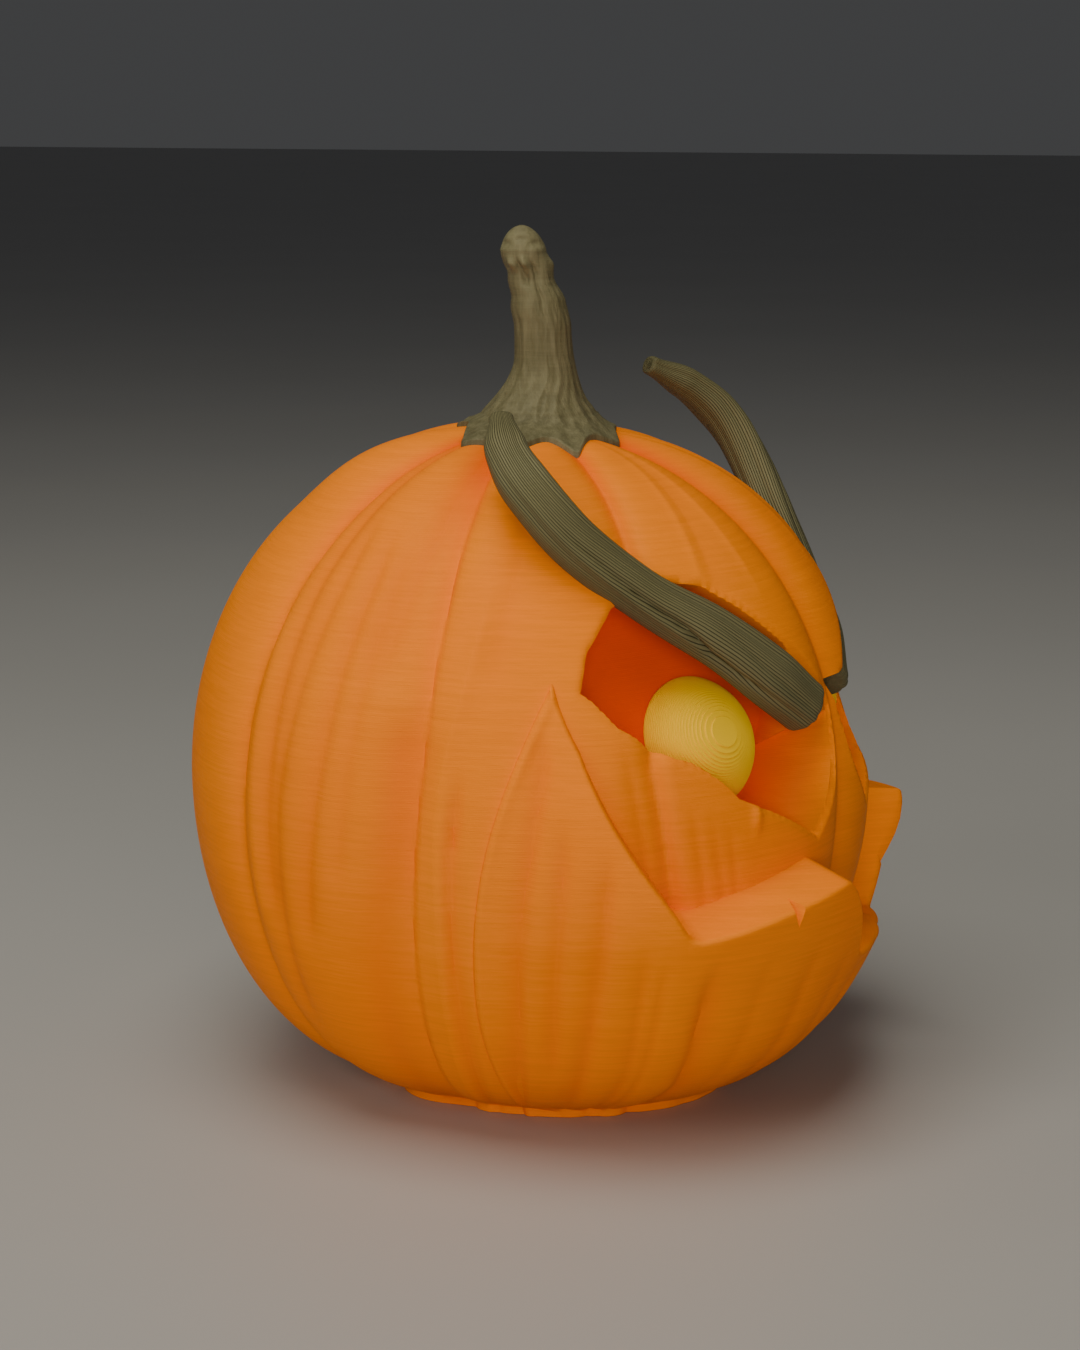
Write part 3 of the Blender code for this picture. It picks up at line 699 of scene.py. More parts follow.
@dataclass
class Jaw:
    """The jaw, a raised shell round the front with two teeth on its upper edge."""

    skin: Skin
    side_angle: float = 74.0
    side_height: float = 26.0
    tip_angle: float = 61.3
    tip_height: float = 69.0
    side_curve: float = 2.3
    foot_angle: float = 66.5
    foot: float = -2.0
    step: float = 0.45
    edge_round: float = 0.8
    top_round: float = 0.7
    top_slope: float = 0.3
    far_slope: float = 0.3
    buried: float = 3.5
    column_step: float = 0.0105
    rows: int = 84
    round_rows: int = 5
    top_rows: int = 9
    mouth: Knots = ((-61.3, 69.0), (-57.4, 60.0), (-53.9, 52.3), (-51.1, 47.5), (-47.9, 42.8), (-44.6, 38.5),
                    (-42.5, 35.4), (-41.0, 34.9), (-36.0, 35.6), (-15.9, 39.2), (-14.9, 39.0), (-12.9, 37.4),
                    (-10.1, 34.2), (-6.2, 28.8), (-3.2, 25.2), (-0.5, 24.3), (29.0, 23.2), (30.2, 23.8),
                    (36.0, 29.6), (38.2, 38.2), (39.0, 39.0), (46.8, 38.6), (47.6, 39.5), (51.0, 39.4),
                    (56.5, 53.0), (61.3, 69.0))
    # How far the jaw swells out by height, and the turn over which the swell rises from the side edge.
    swell: Knots = ((0.0, 6.5), (12.0, 6.4), (22.0, 6.0), (38.0, 7.4), (52.0, 6.4), (70.0, 3.0))
    swell_power: float = 1.3
    span: Knots = ((0.0, 74.0), (34.0, 42.0))
    # The left tooth stands out more: where that starts and ends, and by how much.
    left_angles: tuple[float, float] = (15.0, 38.0)
    left_heights: tuple[float, float] = (18.0, 36.0)
    left_extra: float = 2.2
    # A low ridge along the side edge: its height, its distance from the edge and its width.
    ledge: tuple[float, float, float] = (0.28, 0.9, 0.8)
    fold_margin: tuple[float, float] = (0.3, 2.0)
    # Limits of the rounding on steep parts of the mouth, and the share from where the top lies flatter.
    most_round: float = 1.6
    round_depth: float = 1.2
    far_share: float = 0.3
    lip_shares: tuple[float, ...] = (0.0, 0.0016, 0.004, 0.0075, 0.012, 0.018, 0.026)
    valleys: tuple[Valley, ...] = field(default_factory=lambda: both_sides(JAW_VALLEYS))
    chips: tuple[tuple[float, ...], ...] = ((-30.0, -23.4, -25.4, 38.8, 29.2, 54.4),)
    # How far out the chipping wedge starts, and how far it overlaps above, below and behind.
    chip_reach: float = 62.0
    chip_margins: tuple[float, float, float] = (1.5, 1.8, 0.4)
    # Only the outer face, which stands this far out of the plain skin, takes the painted fold shade.
    face_reach: tuple[float, float] = (-1.0, 0.4)
    soft_edge: float = 40.0

    def side(self, height: np.ndarray) -> np.ndarray:
        """Angle of the side edge.

        Args:
            height: Heights in millimetres.

        Returns:
            The angles in degrees.
        """
        high = np.clip((height - self.side_height) / (self.tip_height - self.side_height), 0.0, 1.0)
        low = np.clip((self.side_height - height) / (self.side_height + 1.0), 0.0, 1.0)
        upper = (self.side_angle - self.tip_angle) * high ** self.side_curve
        return self.side_angle - upper - (self.side_angle - self.foot_angle) * low ** 2

    def reach(self, angle: np.ndarray, height: np.ndarray) -> np.ndarray:
        """How far the jaw stands out of the body's plain profile.

        Args:
            angle: Angles in degrees.
            height: Heights in millimetres.

        Returns:
            The distances in millimetres.
        """
        radius = self.skin.profile(height)
        inward = np.clip(self.side(height) - np.abs(angle), 0.0, 90.0)
        margin = np.radians(inward) * radius
        share = np.clip(inward / follow(self.span, height), 0.0, 1.0)
        rise = np.sin(math.pi / 2.0 * share) ** self.swell_power
        left = ease(angle, *self.left_angles) * ease(height, *self.left_heights) * self.left_extra
        swell = (glide(self.swell, height) + left) * rise
        edge = np.clip(1.0 - margin / self.edge_round, 0.0, 1.0)
        proud, middle, width = self.ledge
        step = self.step * np.sqrt(1.0 - edge ** 2) + proud * np.exp(-((margin - middle) / width) ** 2)
        folds = sum(valley.inset(angle, height, radius) for valley in self.valleys)
        return step + swell - folds * ease(margin, *self.fold_margin)

    def across(self) -> np.ndarray:
        """Space the columns, closely at the side edges and with one at every corner of the mouth.

        Returns:
            A share across the jaw for each column, from -1 at one side edge to 1 at the other.
        """
        angle, height = np.array(self.mouth).T
        stops = angle / self.side(height)
        lips = np.array(self.lip_shares)
        steps = [stops[0] + lips]
        inner = np.concatenate([[stops[0] + lips[-1]], stops[1:-1], [stops[-1] - lips[-1]]])
        for start, end in zip(inner, inner[1:]):
            count = max(1, math.ceil((end - start) / self.column_step))
            steps.append(np.linspace(start, end, count + 1)[1:])
        return np.concatenate(steps + [(stops[-1] - lips[:-1])[::-1]])

    def mesh(self) -> bmesh.types.BMesh:
        """Lay a grid over the front of the body and close it inside the body.

        Returns:
            The closed mesh.
        """
        across = self.across()
        across = np.concatenate([across[:1], across, across[-1:]])
        angle, height = np.array(self.mouth).T
        top = np.interp(across, angle / self.side(height), height)
        fall = np.abs(np.gradient(top, np.maximum.accumulate(across + np.arange(len(across)) * 1e-9)))
        slant = np.hypot(1.0, fall / (self.skin.radius * math.radians(self.side_angle)))
        last = self.rows + self.round_rows + self.top_rows

        def outer(column: np.ndarray, row: np.ndarray) -> np.ndarray:
            """Points of the outer face, the rounded edge and the top face.

            Args:
                column: Column numbers.
                row: Row numbers.

            Returns:
                The points in millimetres.
            """
            rounding = np.minimum(self.top_round * slant[column], self.most_round)
            crest = top[column]
            start = crest - rounding
            share = np.clip((row - 1) / (self.rows - 1), 0.0, 1.0)
            level = self.foot + (start - self.foot) * share
            turn = across[column] * self.side(level)
            reach = self.reach(turn, level)
            radius = self.skin.profile(level) + reach
            bend = np.clip((row - self.rows) / self.round_rows, 0.0, 1.0) * math.pi / 2.0
            edge_turn = across[column] * self.side(crest)
            deep = np.minimum(rounding, self.top_round * self.round_depth)
            radius = radius - deep * (1.0 - np.cos(bend))
            level = level + rounding * np.sin(bend)
            turn = np.where(row > self.rows, edge_turn + (turn - edge_turn) * np.cos(bend), turn)
            inward = np.clip((row - self.rows - self.round_rows) / self.top_rows, 0.0, 1.0)
            back = self.skin.profile(crest) - self.buried
            run = np.maximum(radius - back, 0.0) * inward
            radius = radius - run
            ease_off = np.where(across[column] > self.far_share, self.far_slope, 1.0)
            level = level + run * self.top_slope * ease_off
            hidden = (row == 0) | (column == 0) | (column == len(across) - 1)
            radius = np.where(hidden, self.skin.profile(level) - self.buried, radius)
            return around(turn, radius, level)

        work = sheet(len(across), last + 1, outer)
        made = bmesh.ops.extrude_face_region(work, geom=work.faces[:], use_keep_orig=True)
        for item in made["geom"]:
            if isinstance(item, bmesh.types.BMVert):
                item.tag = True
        work.verts.index_update()
        for vert in work.verts:
            if vert.tag:
                radius = math.hypot(vert.co.x, vert.co.y)
                inner = float(self.skin.profile(vert.co.z / MM) - self.buried) * MM
                shrink = min(inner / radius, 1.0)
                vert.co.x *= shrink
                vert.co.y *= shrink
        close_ends(work, 3e-6)
        cut_flat(work)
        return work

    def chip(self, left: float, right: float, lowest: float, top: float, bottom: float, inner: float
             ) -> bpy.types.Object:
        """A wedge that chips a tooth's outer edge.

        Args:
            left: Angle of its left end.
            right: Angle of its right end.
            lowest: Angle of its lowest point.
            top: Height of the tooth there.
            bottom: Height of its lowest point.
            inner: Radius at which it runs out.

        Returns:
            The wedge, as an object.
        """
        above, below, behind = self.chip_margins
        spots = np.array([(left, self.chip_reach, top + above), (right, self.chip_reach, top + above),
                          (lowest, self.chip_reach, bottom - below), (lowest, inner, top + behind)])
        work = bmesh.new()
        verts = [work.verts.new(point * MM) for point in around(spots[:, 0], spots[:, 1], spots[:, 2])]
        bmesh.ops.convex_hull(work, input=verts)
        return finished("tooth_chip", work)

    def build(self, finish: "PrintedPlastic") -> None:
        """Make the jaw.

        Args:
            finish: Its plastic.
        """
        piece = finished("jaw", self.mesh(), self.soft_edge)
        carved(piece, [self.chip(*chip) for chip in self.chips], self.soft_edge)
        # Painted shade: the jaw's folds are stored for the finish to tint redder.
        points = corners(piece)
        plain = self.skin.profile(points[:, 2])
        outer = ease(np.hypot(points[:, 0], points[:, 1]) - plain, *self.face_reach)
        mark(piece, "fold", folded(self.valleys, turned(points), points[:, 2], plain) * outer)
        hand_over(piece, "pumpkin_body", finish.material())


@dataclass
class Eye:
    """One domed eye, printed lying on its back, so its layers stand as rings round its middle."""

    socket: Socket
    radius: float = 9.3
    dome: float = 6.1
    shift: tuple[float, float] = (-0.3, -0.35)
    layer: float = 0.24
    sides: int = 112
    gap: float = 0.3
    soft_share: float = 0.3
    most_soft: float = 0.07
    wall: tuple[float, float] = (0.65, 0.1)
    soft_edge: float = 28.0

    def outline(self) -> np.ndarray:
        """Draw the dome's steps, from its middle to its foot.

        Returns:
            Radius and height in millimetres of each corner, one a row.
        """
        sphere = (self.radius ** 2 + self.dome ** 2) / (2.0 * self.dome)
        steps = int(self.dome / self.layer)
        points = [(0.0, self.dome)]
        for index in range(1, steps + 1):
            down = index * self.layer
            reach = math.sqrt(sphere ** 2 - (sphere - down) ** 2)
            inner = math.sqrt(sphere ** 2 - (sphere - down + self.layer) ** 2)
            soft = min(self.soft_share * (reach - inner), self.most_soft)
            level = self.dome - down
            points.append((reach - soft, level + self.layer))
            points += [(reach, level + share * self.layer) for share in self.wall]
        points.append((self.radius, 0.0))
        return np.array(points)

    def build(self, side: Side, finish: "PrintedPlastic") -> None:
        """Make one eye.

        Args:
            side: Which eye.
            finish: Its plastic.
        """
        radius, height = self.outline().T
        work = spun(np.column_stack([radius, 0.0 * radius, height + self.gap]), self.sides)
        close_ends(work, 1e-6)
        spots = read_points(work) + np.array([*self.shift, 0.0])
        write_points(work, self.socket.to_world(spots, side))
        piece = finished(f"eye_{side.word}_dome", work, self.soft_edge)
        hand_over(piece, f"eye_{side.word}", finish.material())


@dataclass(frozen=True)
class Groove:
    """A long groove in a brow: turns round the section along the brow, and its depth and width."""

    path: Knots
    depth: Knots
    width: float


@dataclass
class Brow:
    """One brow, a rounded bar swept from its free outer tip to the nose."""

    path: tuple[tuple[float, float, float], ...] = (
        (-26.8, -8.2, 101.6), (-32.0, -11.9, 97.5), (-34.7, -16.8, 92.7), (-32.8, -22.3, 86.1),
        (-27.6, -29.7, 79.3), (-21.2, -37.1, 73.3), (-15.1, -42.7, 67.1), (-9.2, -46.4, 61.8))
    left_path: tuple[tuple[float, float, float], ...] = (
        (26.5, -8.0, 104.5), (32.1, -12.4, 101.0), (34.8, -17.2, 95.7), (33.1, -22.5, 88.6),
        (27.3, -28.8, 81.1), (20.0, -34.7, 74.4), (13.4, -40.4, 68.3), (7.3, -44.1, 62.6))
    half_width: float = 3.5
    half_depth: float = 3.1
    scale: Knots = ((0.0, 0.50), (0.12, 0.83), (0.25, 0.94), (0.55, 0.98), (0.70, 1.14), (0.85, 1.15),
                    (1.0, 1.02))
    squareness: float = 2.7
    centre_height: float = 50.0
    stations: int = 150
    sides: int = 72
    end_rows: int = 7
    end_round: float = 1.3
    end_flat: float = 0.62
    grooves: tuple[Groove, ...] = (
        Groove(((0.0, 74.0), (0.35, 66.0), (0.47, 60.0), (0.56, 48.0), (0.65, 40.0), (0.72, 16.0),
                (0.78, 14.0), (0.84, 22.0), (1.0, 30.0)),
               ((0.0, 0.1), (0.35, 0.35), (0.5, 0.8), (0.68, 1.3), (0.8, 0.9), (0.9, 0.5), (1.0, 0.3)), 9.0),
        Groove(((0.0, 40.0), (0.4, 30.0), (0.65, 8.0), (1.0, -6.0)),
               ((0.0, 0.1), (0.3, 0.5), (0.6, 0.2), (1.0, 0.1)), 12.0),
        Groove(((0.0, 100.0), (0.7, 86.0), (0.85, 66.0), (1.0, 60.0)),
               ((0.0, 0.1), (0.7, 0.15), (0.88, 0.6), (1.0, 0.3)), 8.0),
        Groove(((0.0, -60.0), (1.0, -66.0)), ((0.0, 0.2), (0.5, 0.4), (1.0, 0.4)), 10.0),
        Groove(((0.0, 120.0), (1.0, 112.0)), ((0.0, 0.2), (0.6, 0.45), (1.0, 0.2)), 10.0),
        Groove(((0.0, 175.0), (1.0, 165.0)), ((0.0, 0.2), (0.5, 0.4), (1.0, 0.3)), 12.0),
        Groove(((0.0, 235.0), (1.0, 228.0)), ((0.0, 0.2), (0.5, 0.4), (1.0, 0.3)), 12.0))
    groove_power: float = 1.6
    # Slow waves of the skin: their size, their number round the section and their pace along the brow.
    wavers: tuple[tuple[float, float, float], ...] = ((0.18, 2.0, 9.0), (0.12, 1.0, 14.0))
    soft_edge: float = 60.0

    def middle(self, side: Side) -> np.ndarray:
        """Points along the brow's middle line, on a smooth curve through its path.

        Args:
            side: Which brow.

        Returns:
            The points in millimetres, one a row.
        """
        path = np.array(self.left_path if side is Side.LEFT else self.path)
        ends = np.vstack([2.0 * path[0] - path[1], path, 2.0 * path[-1] - path[-2]])
        place = np.linspace(0.0, len(path) - 1.0, self.stations + 1)
        index = np.minimum(place.astype(int), len(path) - 2)
        share = (place - index)[:, None]
        before, start, end, after = (ends[index + step] for step in range(4))
        return 0.5 * (2.0 * start + (end - before) * share
                      + (2.0 * before - 5.0 * start + 4.0 * end - after) * share ** 2
                      + (3.0 * start - before - 3.0 * end + after) * share ** 3)

    def section(self, share: np.ndarray, turn: np.ndarray) -> tuple[np.ndarray, np.ndarray]:
        """Half width and half depth of the grooved section.

        Args:
            share: Shares along the brow.
            turn: Turns round the section in degrees, 0 on its upper side and 90 outwards.

        Returns:
            The two distances in millimetres.
        """
        across, out = np.cos(np.radians(turn)), np.sin(np.radians(turn))
        power = self.squareness
        squared = (np.abs(across) ** power + np.abs(out) ** power) ** (1.0 / power)
        width, depth = self.half_width * across / squared, self.half_depth * out / squared
        cut = sum(follow(groove.depth, share)
                  * np.exp(-(np.abs(turn_apart(turn, follow(groove.path, share))) / groove.width)
                           ** self.groove_power)
                  for groove in self.grooves)
        waver = sum(size * np.sin(np.radians(times * turn) + pace * share)
                    for size, times, pace in self.wavers)
        shrink = 1.0 - (cut - waver) / np.hypot(width, depth)
        return width * shrink, depth * shrink

    def build(self, side: Side, finish: "PrintedPlastic") -> None:
        """Make one brow.

        Args:
            side: Which brow.
            finish: Its plastic.
        """
        middle = self.middle(side)
        along = np.gradient(middle, axis=0)
        along /= np.linalg.norm(along, axis=1)[:, None]
        outward = middle - np.array([0.0, 0.0, self.centre_height])
        outward -= along * (outward * along).sum(1)[:, None]
        outward /= np.linalg.norm(outward, axis=1)[:, None]
        across = np.cross(along, outward) * -side.value
        last = self.stations + 2 * self.end_rows

        def place(column: np.ndarray, row: np.ndarray) -> np.ndarray:
            """Points of the brow's skin, with a rounded cap at each end.

            Args:
                column: Column numbers.
                row: Row numbers.

            Returns:
                The points in millimetres.
            """
            station = np.clip(row - self.end_rows, 0, self.stations)
            past = (row - self.end_rows - station) / self.end_rows
            bend = np.abs(past) * math.pi / 2.0
            share = station / self.stations
            width, depth = self.section(share, 360.0 * column / self.sides)
            size = glide(self.scale, share)
            shrink = 1.0 - (1.0 - np.cos(bend)) * np.where(past == 0.0, 0.0, 1.0)
            flat = np.where(np.abs(past) > 0.999, 0.0, self.end_flat + (1.0 - self.end_flat) * shrink)
            flat = np.where(past == 0.0, 1.0, flat)
            push = np.sign(past) * np.sin(bend) * self.end_round * size
            spot = middle[station] + along[station] * push[:, None]
            spot = spot + across[station] * (width * size * flat)[:, None]
            return spot + outward[station] * (depth * size * flat)[:, None]

        work = sheet(self.sides + 1, last + 1, place)
        close_ends(work)
        piece = finished(f"brow_{side.word}_bar", work, self.soft_edge)
        points = corners(piece)
        nearest = ((points[:, None, :] - middle[None, :, :]) ** 2).sum(2).argmin(1)
        apart = points - middle[nearest]
        turn = np.arctan2((apart * across[nearest]).sum(1), (apart * outward[nearest]).sum(1))
        mark(piece, "layer", turn * self.half_width * MM)
        hand_over(piece, f"brow_{side.word}", finish.material())


@dataclass
class Stem:
    """The ridged stem with its knobbly cap and a skirt whose points lie over the body's creases."""

    skin: Skin
    points: Knots = ((-156.0, 10.9), (-105.0, 15.4), (-74.0, 17.2), (-41.0, 16.7), (1.0, 14.2), (41.0, 13.2),
                     (81.0, 14.0), (119.0, 15.0), (160.0, 13.0))
    gaps: Knots = ((-139.0, 9.4), (-90.0, 13.2), (-54.0, 13.2), (-20.0, 12.8), (20.0, 12.4), (60.0, 12.0),
                   (100.0, 12.4), (140.0, 11.4), (182.0, 9.8))
    point_sharpness: float = 1.5
    lift: float = 0.8
    columns: int = 180
    rows: int = 190
    skirt_rows: int = 46
    buried: float = 1.2
    inner_radius: float = 3.0
    lean_angle: float = -65.0
    shaft_share: float = 0.42
    flare_growth: float = 1.7
    profile: Knots = ((99.5, 8.7), (100.4, 7.8), (101.5, 6.9), (102.5, 6.25), (103.5, 5.75), (105.5, 4.95),
                      (107.5, 4.4), (110.5, 4.2), (115.0, 4.2), (117.5, 3.7), (119.5, 3.3), (121.0, 3.3),
                      (122.4, 3.4), (123.4, 3.35), (124.2, 3.1), (124.9, 2.75), (125.5, 2.35), (126.0, 1.9),
                      (126.4, 1.4), (126.7, 0.8), (126.85, 0.3))
    lean: Knots = ((95.0, 0.9), (100.0, 1.2), (107.0, 1.95), (112.0, 1.75), (116.0, 1.1), (119.5, 0.0),
                   (123.5, -1.1), (127.0, -1.3))
    shoulder: tuple[float, float] = (9.9, 98.45)
    # Each ridge: its angle, its width in degrees and its size.
    ridges: tuple[tuple[float, float, float], ...] = (
        (-150.0, 9.0, 0.34), (-128.0, 10.0, 0.30), (-108.0, 9.0, 0.40), (-84.0, 10.0, 0.22),
        (-66.0, 4.0, 0.34), (-57.0, 3.5, 0.20), (-44.0, 6.0, 0.50), (-28.0, 4.0, 0.18), (-14.0, 7.0, 0.40),
        (6.0, 5.0, 0.24), (22.0, 8.0, 0.34), (41.0, 8.0, 0.42), (66.0, 10.0, 0.30), (88.0, 8.0, 0.40),
        (112.0, 9.0, 0.30), (136.0, 8.0, 0.40), (164.0, 9.0, 0.30), (186.0, 7.0, 0.30))
    # Each lump or dent of the cap: its angle, its height, its width in degrees, its tallness and its size.
    knobs: tuple[tuple[float, float, float, float, float], ...] = (
        (-104.0, 121.4, 15.0, 0.8, 0.65), (-70.0, 121.5, 10.0, 0.8, 0.7), (-34.0, 123.2, 20.0, 1.0, 0.2),
        (-26.0, 124.3, 24.0, 0.5, -0.55), (-66.0, 125.0, 26.0, 0.35, -0.4),
        (-120.0, 124.2, 24.0, 0.5, -0.45), (-87.0, 120.9, 5.0, 1.0, -0.7),
        (-52.0, 121.0, 5.0, 1.0, -0.5), (-78.0, 119.3, 13.0, 1.0, -0.85),
        (-55.0, 116.2, 7.0, 2.6, -0.6), (-48.0, 119.6, 8.0, 1.4, -0.4), (20.0, 121.4, 26.0, 1.0, 0.5),
        (75.0, 121.0, 22.0, 1.1, 0.5), (120.0, 122.0, 24.0, 1.0, 0.5), (170.0, 121.3, 26.0, 1.0, 0.5),
        (100.0, 124.4, 36.0, 0.6, -0.5))
    # How the ridges wind: size in degrees, pace by height, and start of each wave.
    wavers: tuple[tuple[float, float, float], ...] = ((6.0, 0.31, 0.0), (2.0, 0.9, 1.0))
    waver_spread: float = 0.3
    ridge_power: float = 1.5
    ridge_base: float = 0.15
    # Heights between which the ridges end at the cap, the skirt narrows and the cap's lumps end.
    neck: tuple[float, float] = (118.5, 120.5)
    flare: tuple[float, float] = (99.0, 106.0)
    crown: tuple[float, float] = (124.6, 126.6)
    # The profile is smoothed over these steps of height, up to where the cap curves in.
    cap_sharp: float = 123.0
    smooth_steps: tuple[float, ...] = (-0.9, -0.3, 0.3, 0.9)
    soft_edge: float = 60.0

    def rim(self, angle: np.ndarray) -> np.ndarray:
        """Radius of the skirt's edge, with a point over every crease.

        Args:
            angle: Angles in degrees.

        Returns:
            The radii in millimetres.
        """
        stops = sorted(self.points + self.gaps)
        stops.append((stops[0][0] + 360.0, stops[0][1]))
        places, values = np.array(stops).T
        index, share = between(places, angle)
        before, after = values[index], values[index + 1]
        rising = np.where(after > before, share, 1.0 - share)
        return np.minimum(before, after) + np.abs(after - before) * rising ** self.point_sharpness

    def surface(self, angle: np.ndarray, radius: np.ndarray) -> np.ndarray:
        """Height of the body's top.

        Args:
            angle: Angles in degrees.
            radius: Distances from the axis in millimetres.

        Returns:
            The heights in millimetres.
        """
        share = (radius / self.skin.radius) ** (2.0 / self.skin.top_fullness)
        height = self.skin.waist + self.skin.rise * np.sqrt(np.clip(1.0 - share, 0.0, 1.0))
        return height - self.skin.inset(angle, height)

    def ridge(self, angle: np.ndarray, height: np.ndarray) -> np.ndarray:
        """Change of the stem's radius by its ridges and the lumps of its cap.

        Args:
            angle: Angles in degrees.
            height: Heights in millimetres.

        Returns:
            The changes in millimetres.
        """
        total = np.zeros(angle.shape)
        waver = sum(size * np.sin(height * pace + start) for size, pace, start in self.wavers)
        body = 1.0 - ease(height, *self.neck)
        grown = self.shaft_share * (1.0 + self.flare_growth * (1.0 - ease(height, *self.flare)))
        for centre, width, size in self.ridges:
            apart = turn_apart(angle, centre + waver * (1.0 + self.waver_spread * math.sin(centre)))
            total += size * body * grown * np.exp(-(np.abs(apart) / width) ** self.ridge_power)
        for centre, level, width, tall, size in self.knobs:
            apart = turn_apart(angle, centre) / width
            total += size * np.exp(-(apart ** 2 + ((height - level) / tall) ** 2))
        return total - self.ridge_base * body

    def mesh(self) -> bmesh.types.BMesh:
        """Lay the skirt and the stem as one sheet round the axis and close it at foot and top.

        Returns:
            The closed mesh.
        """
        (low, start), (high, _) = self.profile[0], self.profile[-1]
        skirt_rows = self.skirt_rows
        turn = math.radians(self.lean_angle)

        def place(column: np.ndarray, row: np.ndarray) -> np.ndarray:
            """Points of the foot, the skirt and the stem.

            Args:
                column: Column numbers.
                row: Row numbers.

            Returns:
                The points in millimetres.
            """
            angle = 360.0 * column / self.columns - 180.0
            rim = self.rim(angle)
            ground = self.surface(angle, rim)
            share = np.clip((row - 2) / skirt_rows, 0.0, 1.0)
            bend_radius, bend_height = self.shoulder
            edge = ground + self.lift
            first, bend, last = (1.0 - share) ** 2, 2.0 * share * (1.0 - share), share ** 2
            radius = rim * first + bend * bend_radius + start * last
            level = edge * first + bend * bend_height + low * last
            fold = self.ridge(angle, level) * (0.45 + 0.55 * share) * ease(share, 0.0, 0.06)
            radius = radius + fold * (0.35 + 0.65 * share ** 3)
            level = level + fold * (0.9 - 0.9 * share ** 3)
            level = np.where(row <= 1, ground - self.buried, level)
            level = np.where(row == 2, ground + self.lift * 0.8, level)
            radius = np.where(row <= 1, rim, radius)
            radius = np.where(row == 0, self.inner_radius, radius)
            up = np.clip((row - 2 - skirt_rows) / (self.rows - 2 - skirt_rows), 0.0, 1.0)
            tall = low + (high - low) * up
            smooth = sum(follow(self.profile, tall + step) for step in self.smooth_steps)
            smooth = smooth / len(self.smooth_steps)
            plain = np.where(tall > self.cap_sharp, follow(self.profile, tall), smooth)
            shaft = plain + self.ridge(angle, tall) * (1.0 - ease(tall, *self.crown))
            stem = row > 2 + skirt_rows
            lean = np.where(stem, glide(self.lean, tall), self.lean[1][1] * share)
            spot = around(angle, np.where(stem, shaft, radius), np.where(stem, tall, level))
            return spot + np.stack([lean * math.cos(turn), lean * math.sin(turn), 0.0 * lean], axis=-1)

        work = sheet(self.columns + 1, self.rows + 1, place)
        close_ends(work)
        return work

    def build(self, finish: "PrintedPlastic") -> None:
        """Make the stem.

        Args:
            finish: Its plastic.
        """
        piece = finished("stem_and_skirt", self.mesh(), self.soft_edge)
        hand_over(piece, "stem", finish.material())


class Nodes:
    """A node tree and short ways to add to it."""

    def __init__(self, tree: bpy.types.NodeTree) -> None:
        """Keep the tree.

        Args:
            tree: A material's or a group's node tree.
        """
        self.tree = tree

    def add(self, kind: str, inputs: dict | None = None, **settings: object) -> bpy.types.Node:
        """Add a node.

        Args:
            kind: The node's type.
            inputs: Socket name or number to a value or to another node's output.
            settings: The node's own settings.

        Returns:
            The node.
        """
        node = self.tree.nodes.new(kind)
        for key, value in settings.items():
            setattr(node, key, value)
        self.fill(node, inputs or {})
        return node

    def fill(self, node: bpy.types.Node, inputs: dict) -> None:
        """Set a node's inputs.

        Args:
            node: The node.
            inputs: Socket name or number to a value or to another node's output.
        """
        for key, value in inputs.items():
            if isinstance(value, bpy.types.NodeSocket):
                self.tree.links.new(value, node.inputs[key])
            else:
                node.inputs[key].default_value = value

    def noise(self, place: object, scale: float, detail: float, roughness: float = 0.5
              ) -> bpy.types.NodeSocket:
        """Add a Noise node and give its value."""
        return self.add("ShaderNodeTexNoise", {"Vector": place, "Scale": scale, "Detail": detail,
                                               "Roughness": roughness}).outputs["Fac"]

    def stored(self, name: str) -> bpy.types.NodeSocket:
        """Read a value that is stored on the mesh's corners."""
        return self.add("ShaderNodeAttribute", attribute_name=name).outputs["Fac"]

    def grey(self, value: object) -> bpy.types.NodeSocket:
        """Turn a value into a grey."""
        return self.add("ShaderNodeCombineColor", {0: value, 1: value, 2: value}).outputs[0]

    def math(self, operation: str, first: object, second: object = 0.0, third: object = 0.0
             ) -> bpy.types.NodeSocket:
        """Add a Math node and give its output."""
        return self.add("ShaderNodeMath", {0: first, 1: second, 2: third}, operation=operation).outputs[0]

    def spread(self, value: object, low: float, high: float, to_low: float = 0.0, to_high: float = 1.0
               ) -> bpy.types.NodeSocket:
        """Add a smooth Map Range node.

        Args:
            value: What it reads.
            low: Where it leaves its first value.
            high: Where it reaches its second.
            to_low: The first value.
            to_high: The second value.

        Returns:
            Its output.
        """
        node = self.add("ShaderNodeMapRange", {"Value": value, "From Min": low, "From Max": high,
                                               "To Min": to_low, "To Max": to_high})
        node.interpolation_type = "SMOOTHSTEP"
        return node.outputs["Result"]

    def blend(self, factor: object, first: object, second: object, mode: str = "MIX"
              ) -> bpy.types.NodeSocket:
        """Add a colour Mix node.

        Args:
            factor: Share of the second colour.
            first: The first colour.
            second: The second colour.
            mode: How they are mixed.

        Returns:
            Its output.
        """
        node = self.add("ShaderNodeMix", data_type="RGBA", blend_type=mode)
        for name, value in (("Factor_Float", factor), ("A_Color", first), ("B_Color", second)):
            socket = next(item for item in node.inputs if item.identifier == name)
            if isinstance(value, bpy.types.NodeSocket):
                self.tree.links.new(value, socket)
            else:
                socket.default_value = value
        return next(item for item in node.outputs if item.identifier == "Result_Color")


# How many layers the slow waver of the beads shifts them by, and how fine it is.
DRIFT, DRIFT_SCALE = 1.2, 90.0
# A higher power makes a bead flatter, with narrower gaps beside it.
BEAD_POWER = 3.0
# How fine the streaks are along a layer and from layer to layer, and how fine the mottle is.
STREAK_SCALES = (95.0, 2300.0)
MOTTLE_SCALE = 1500.0


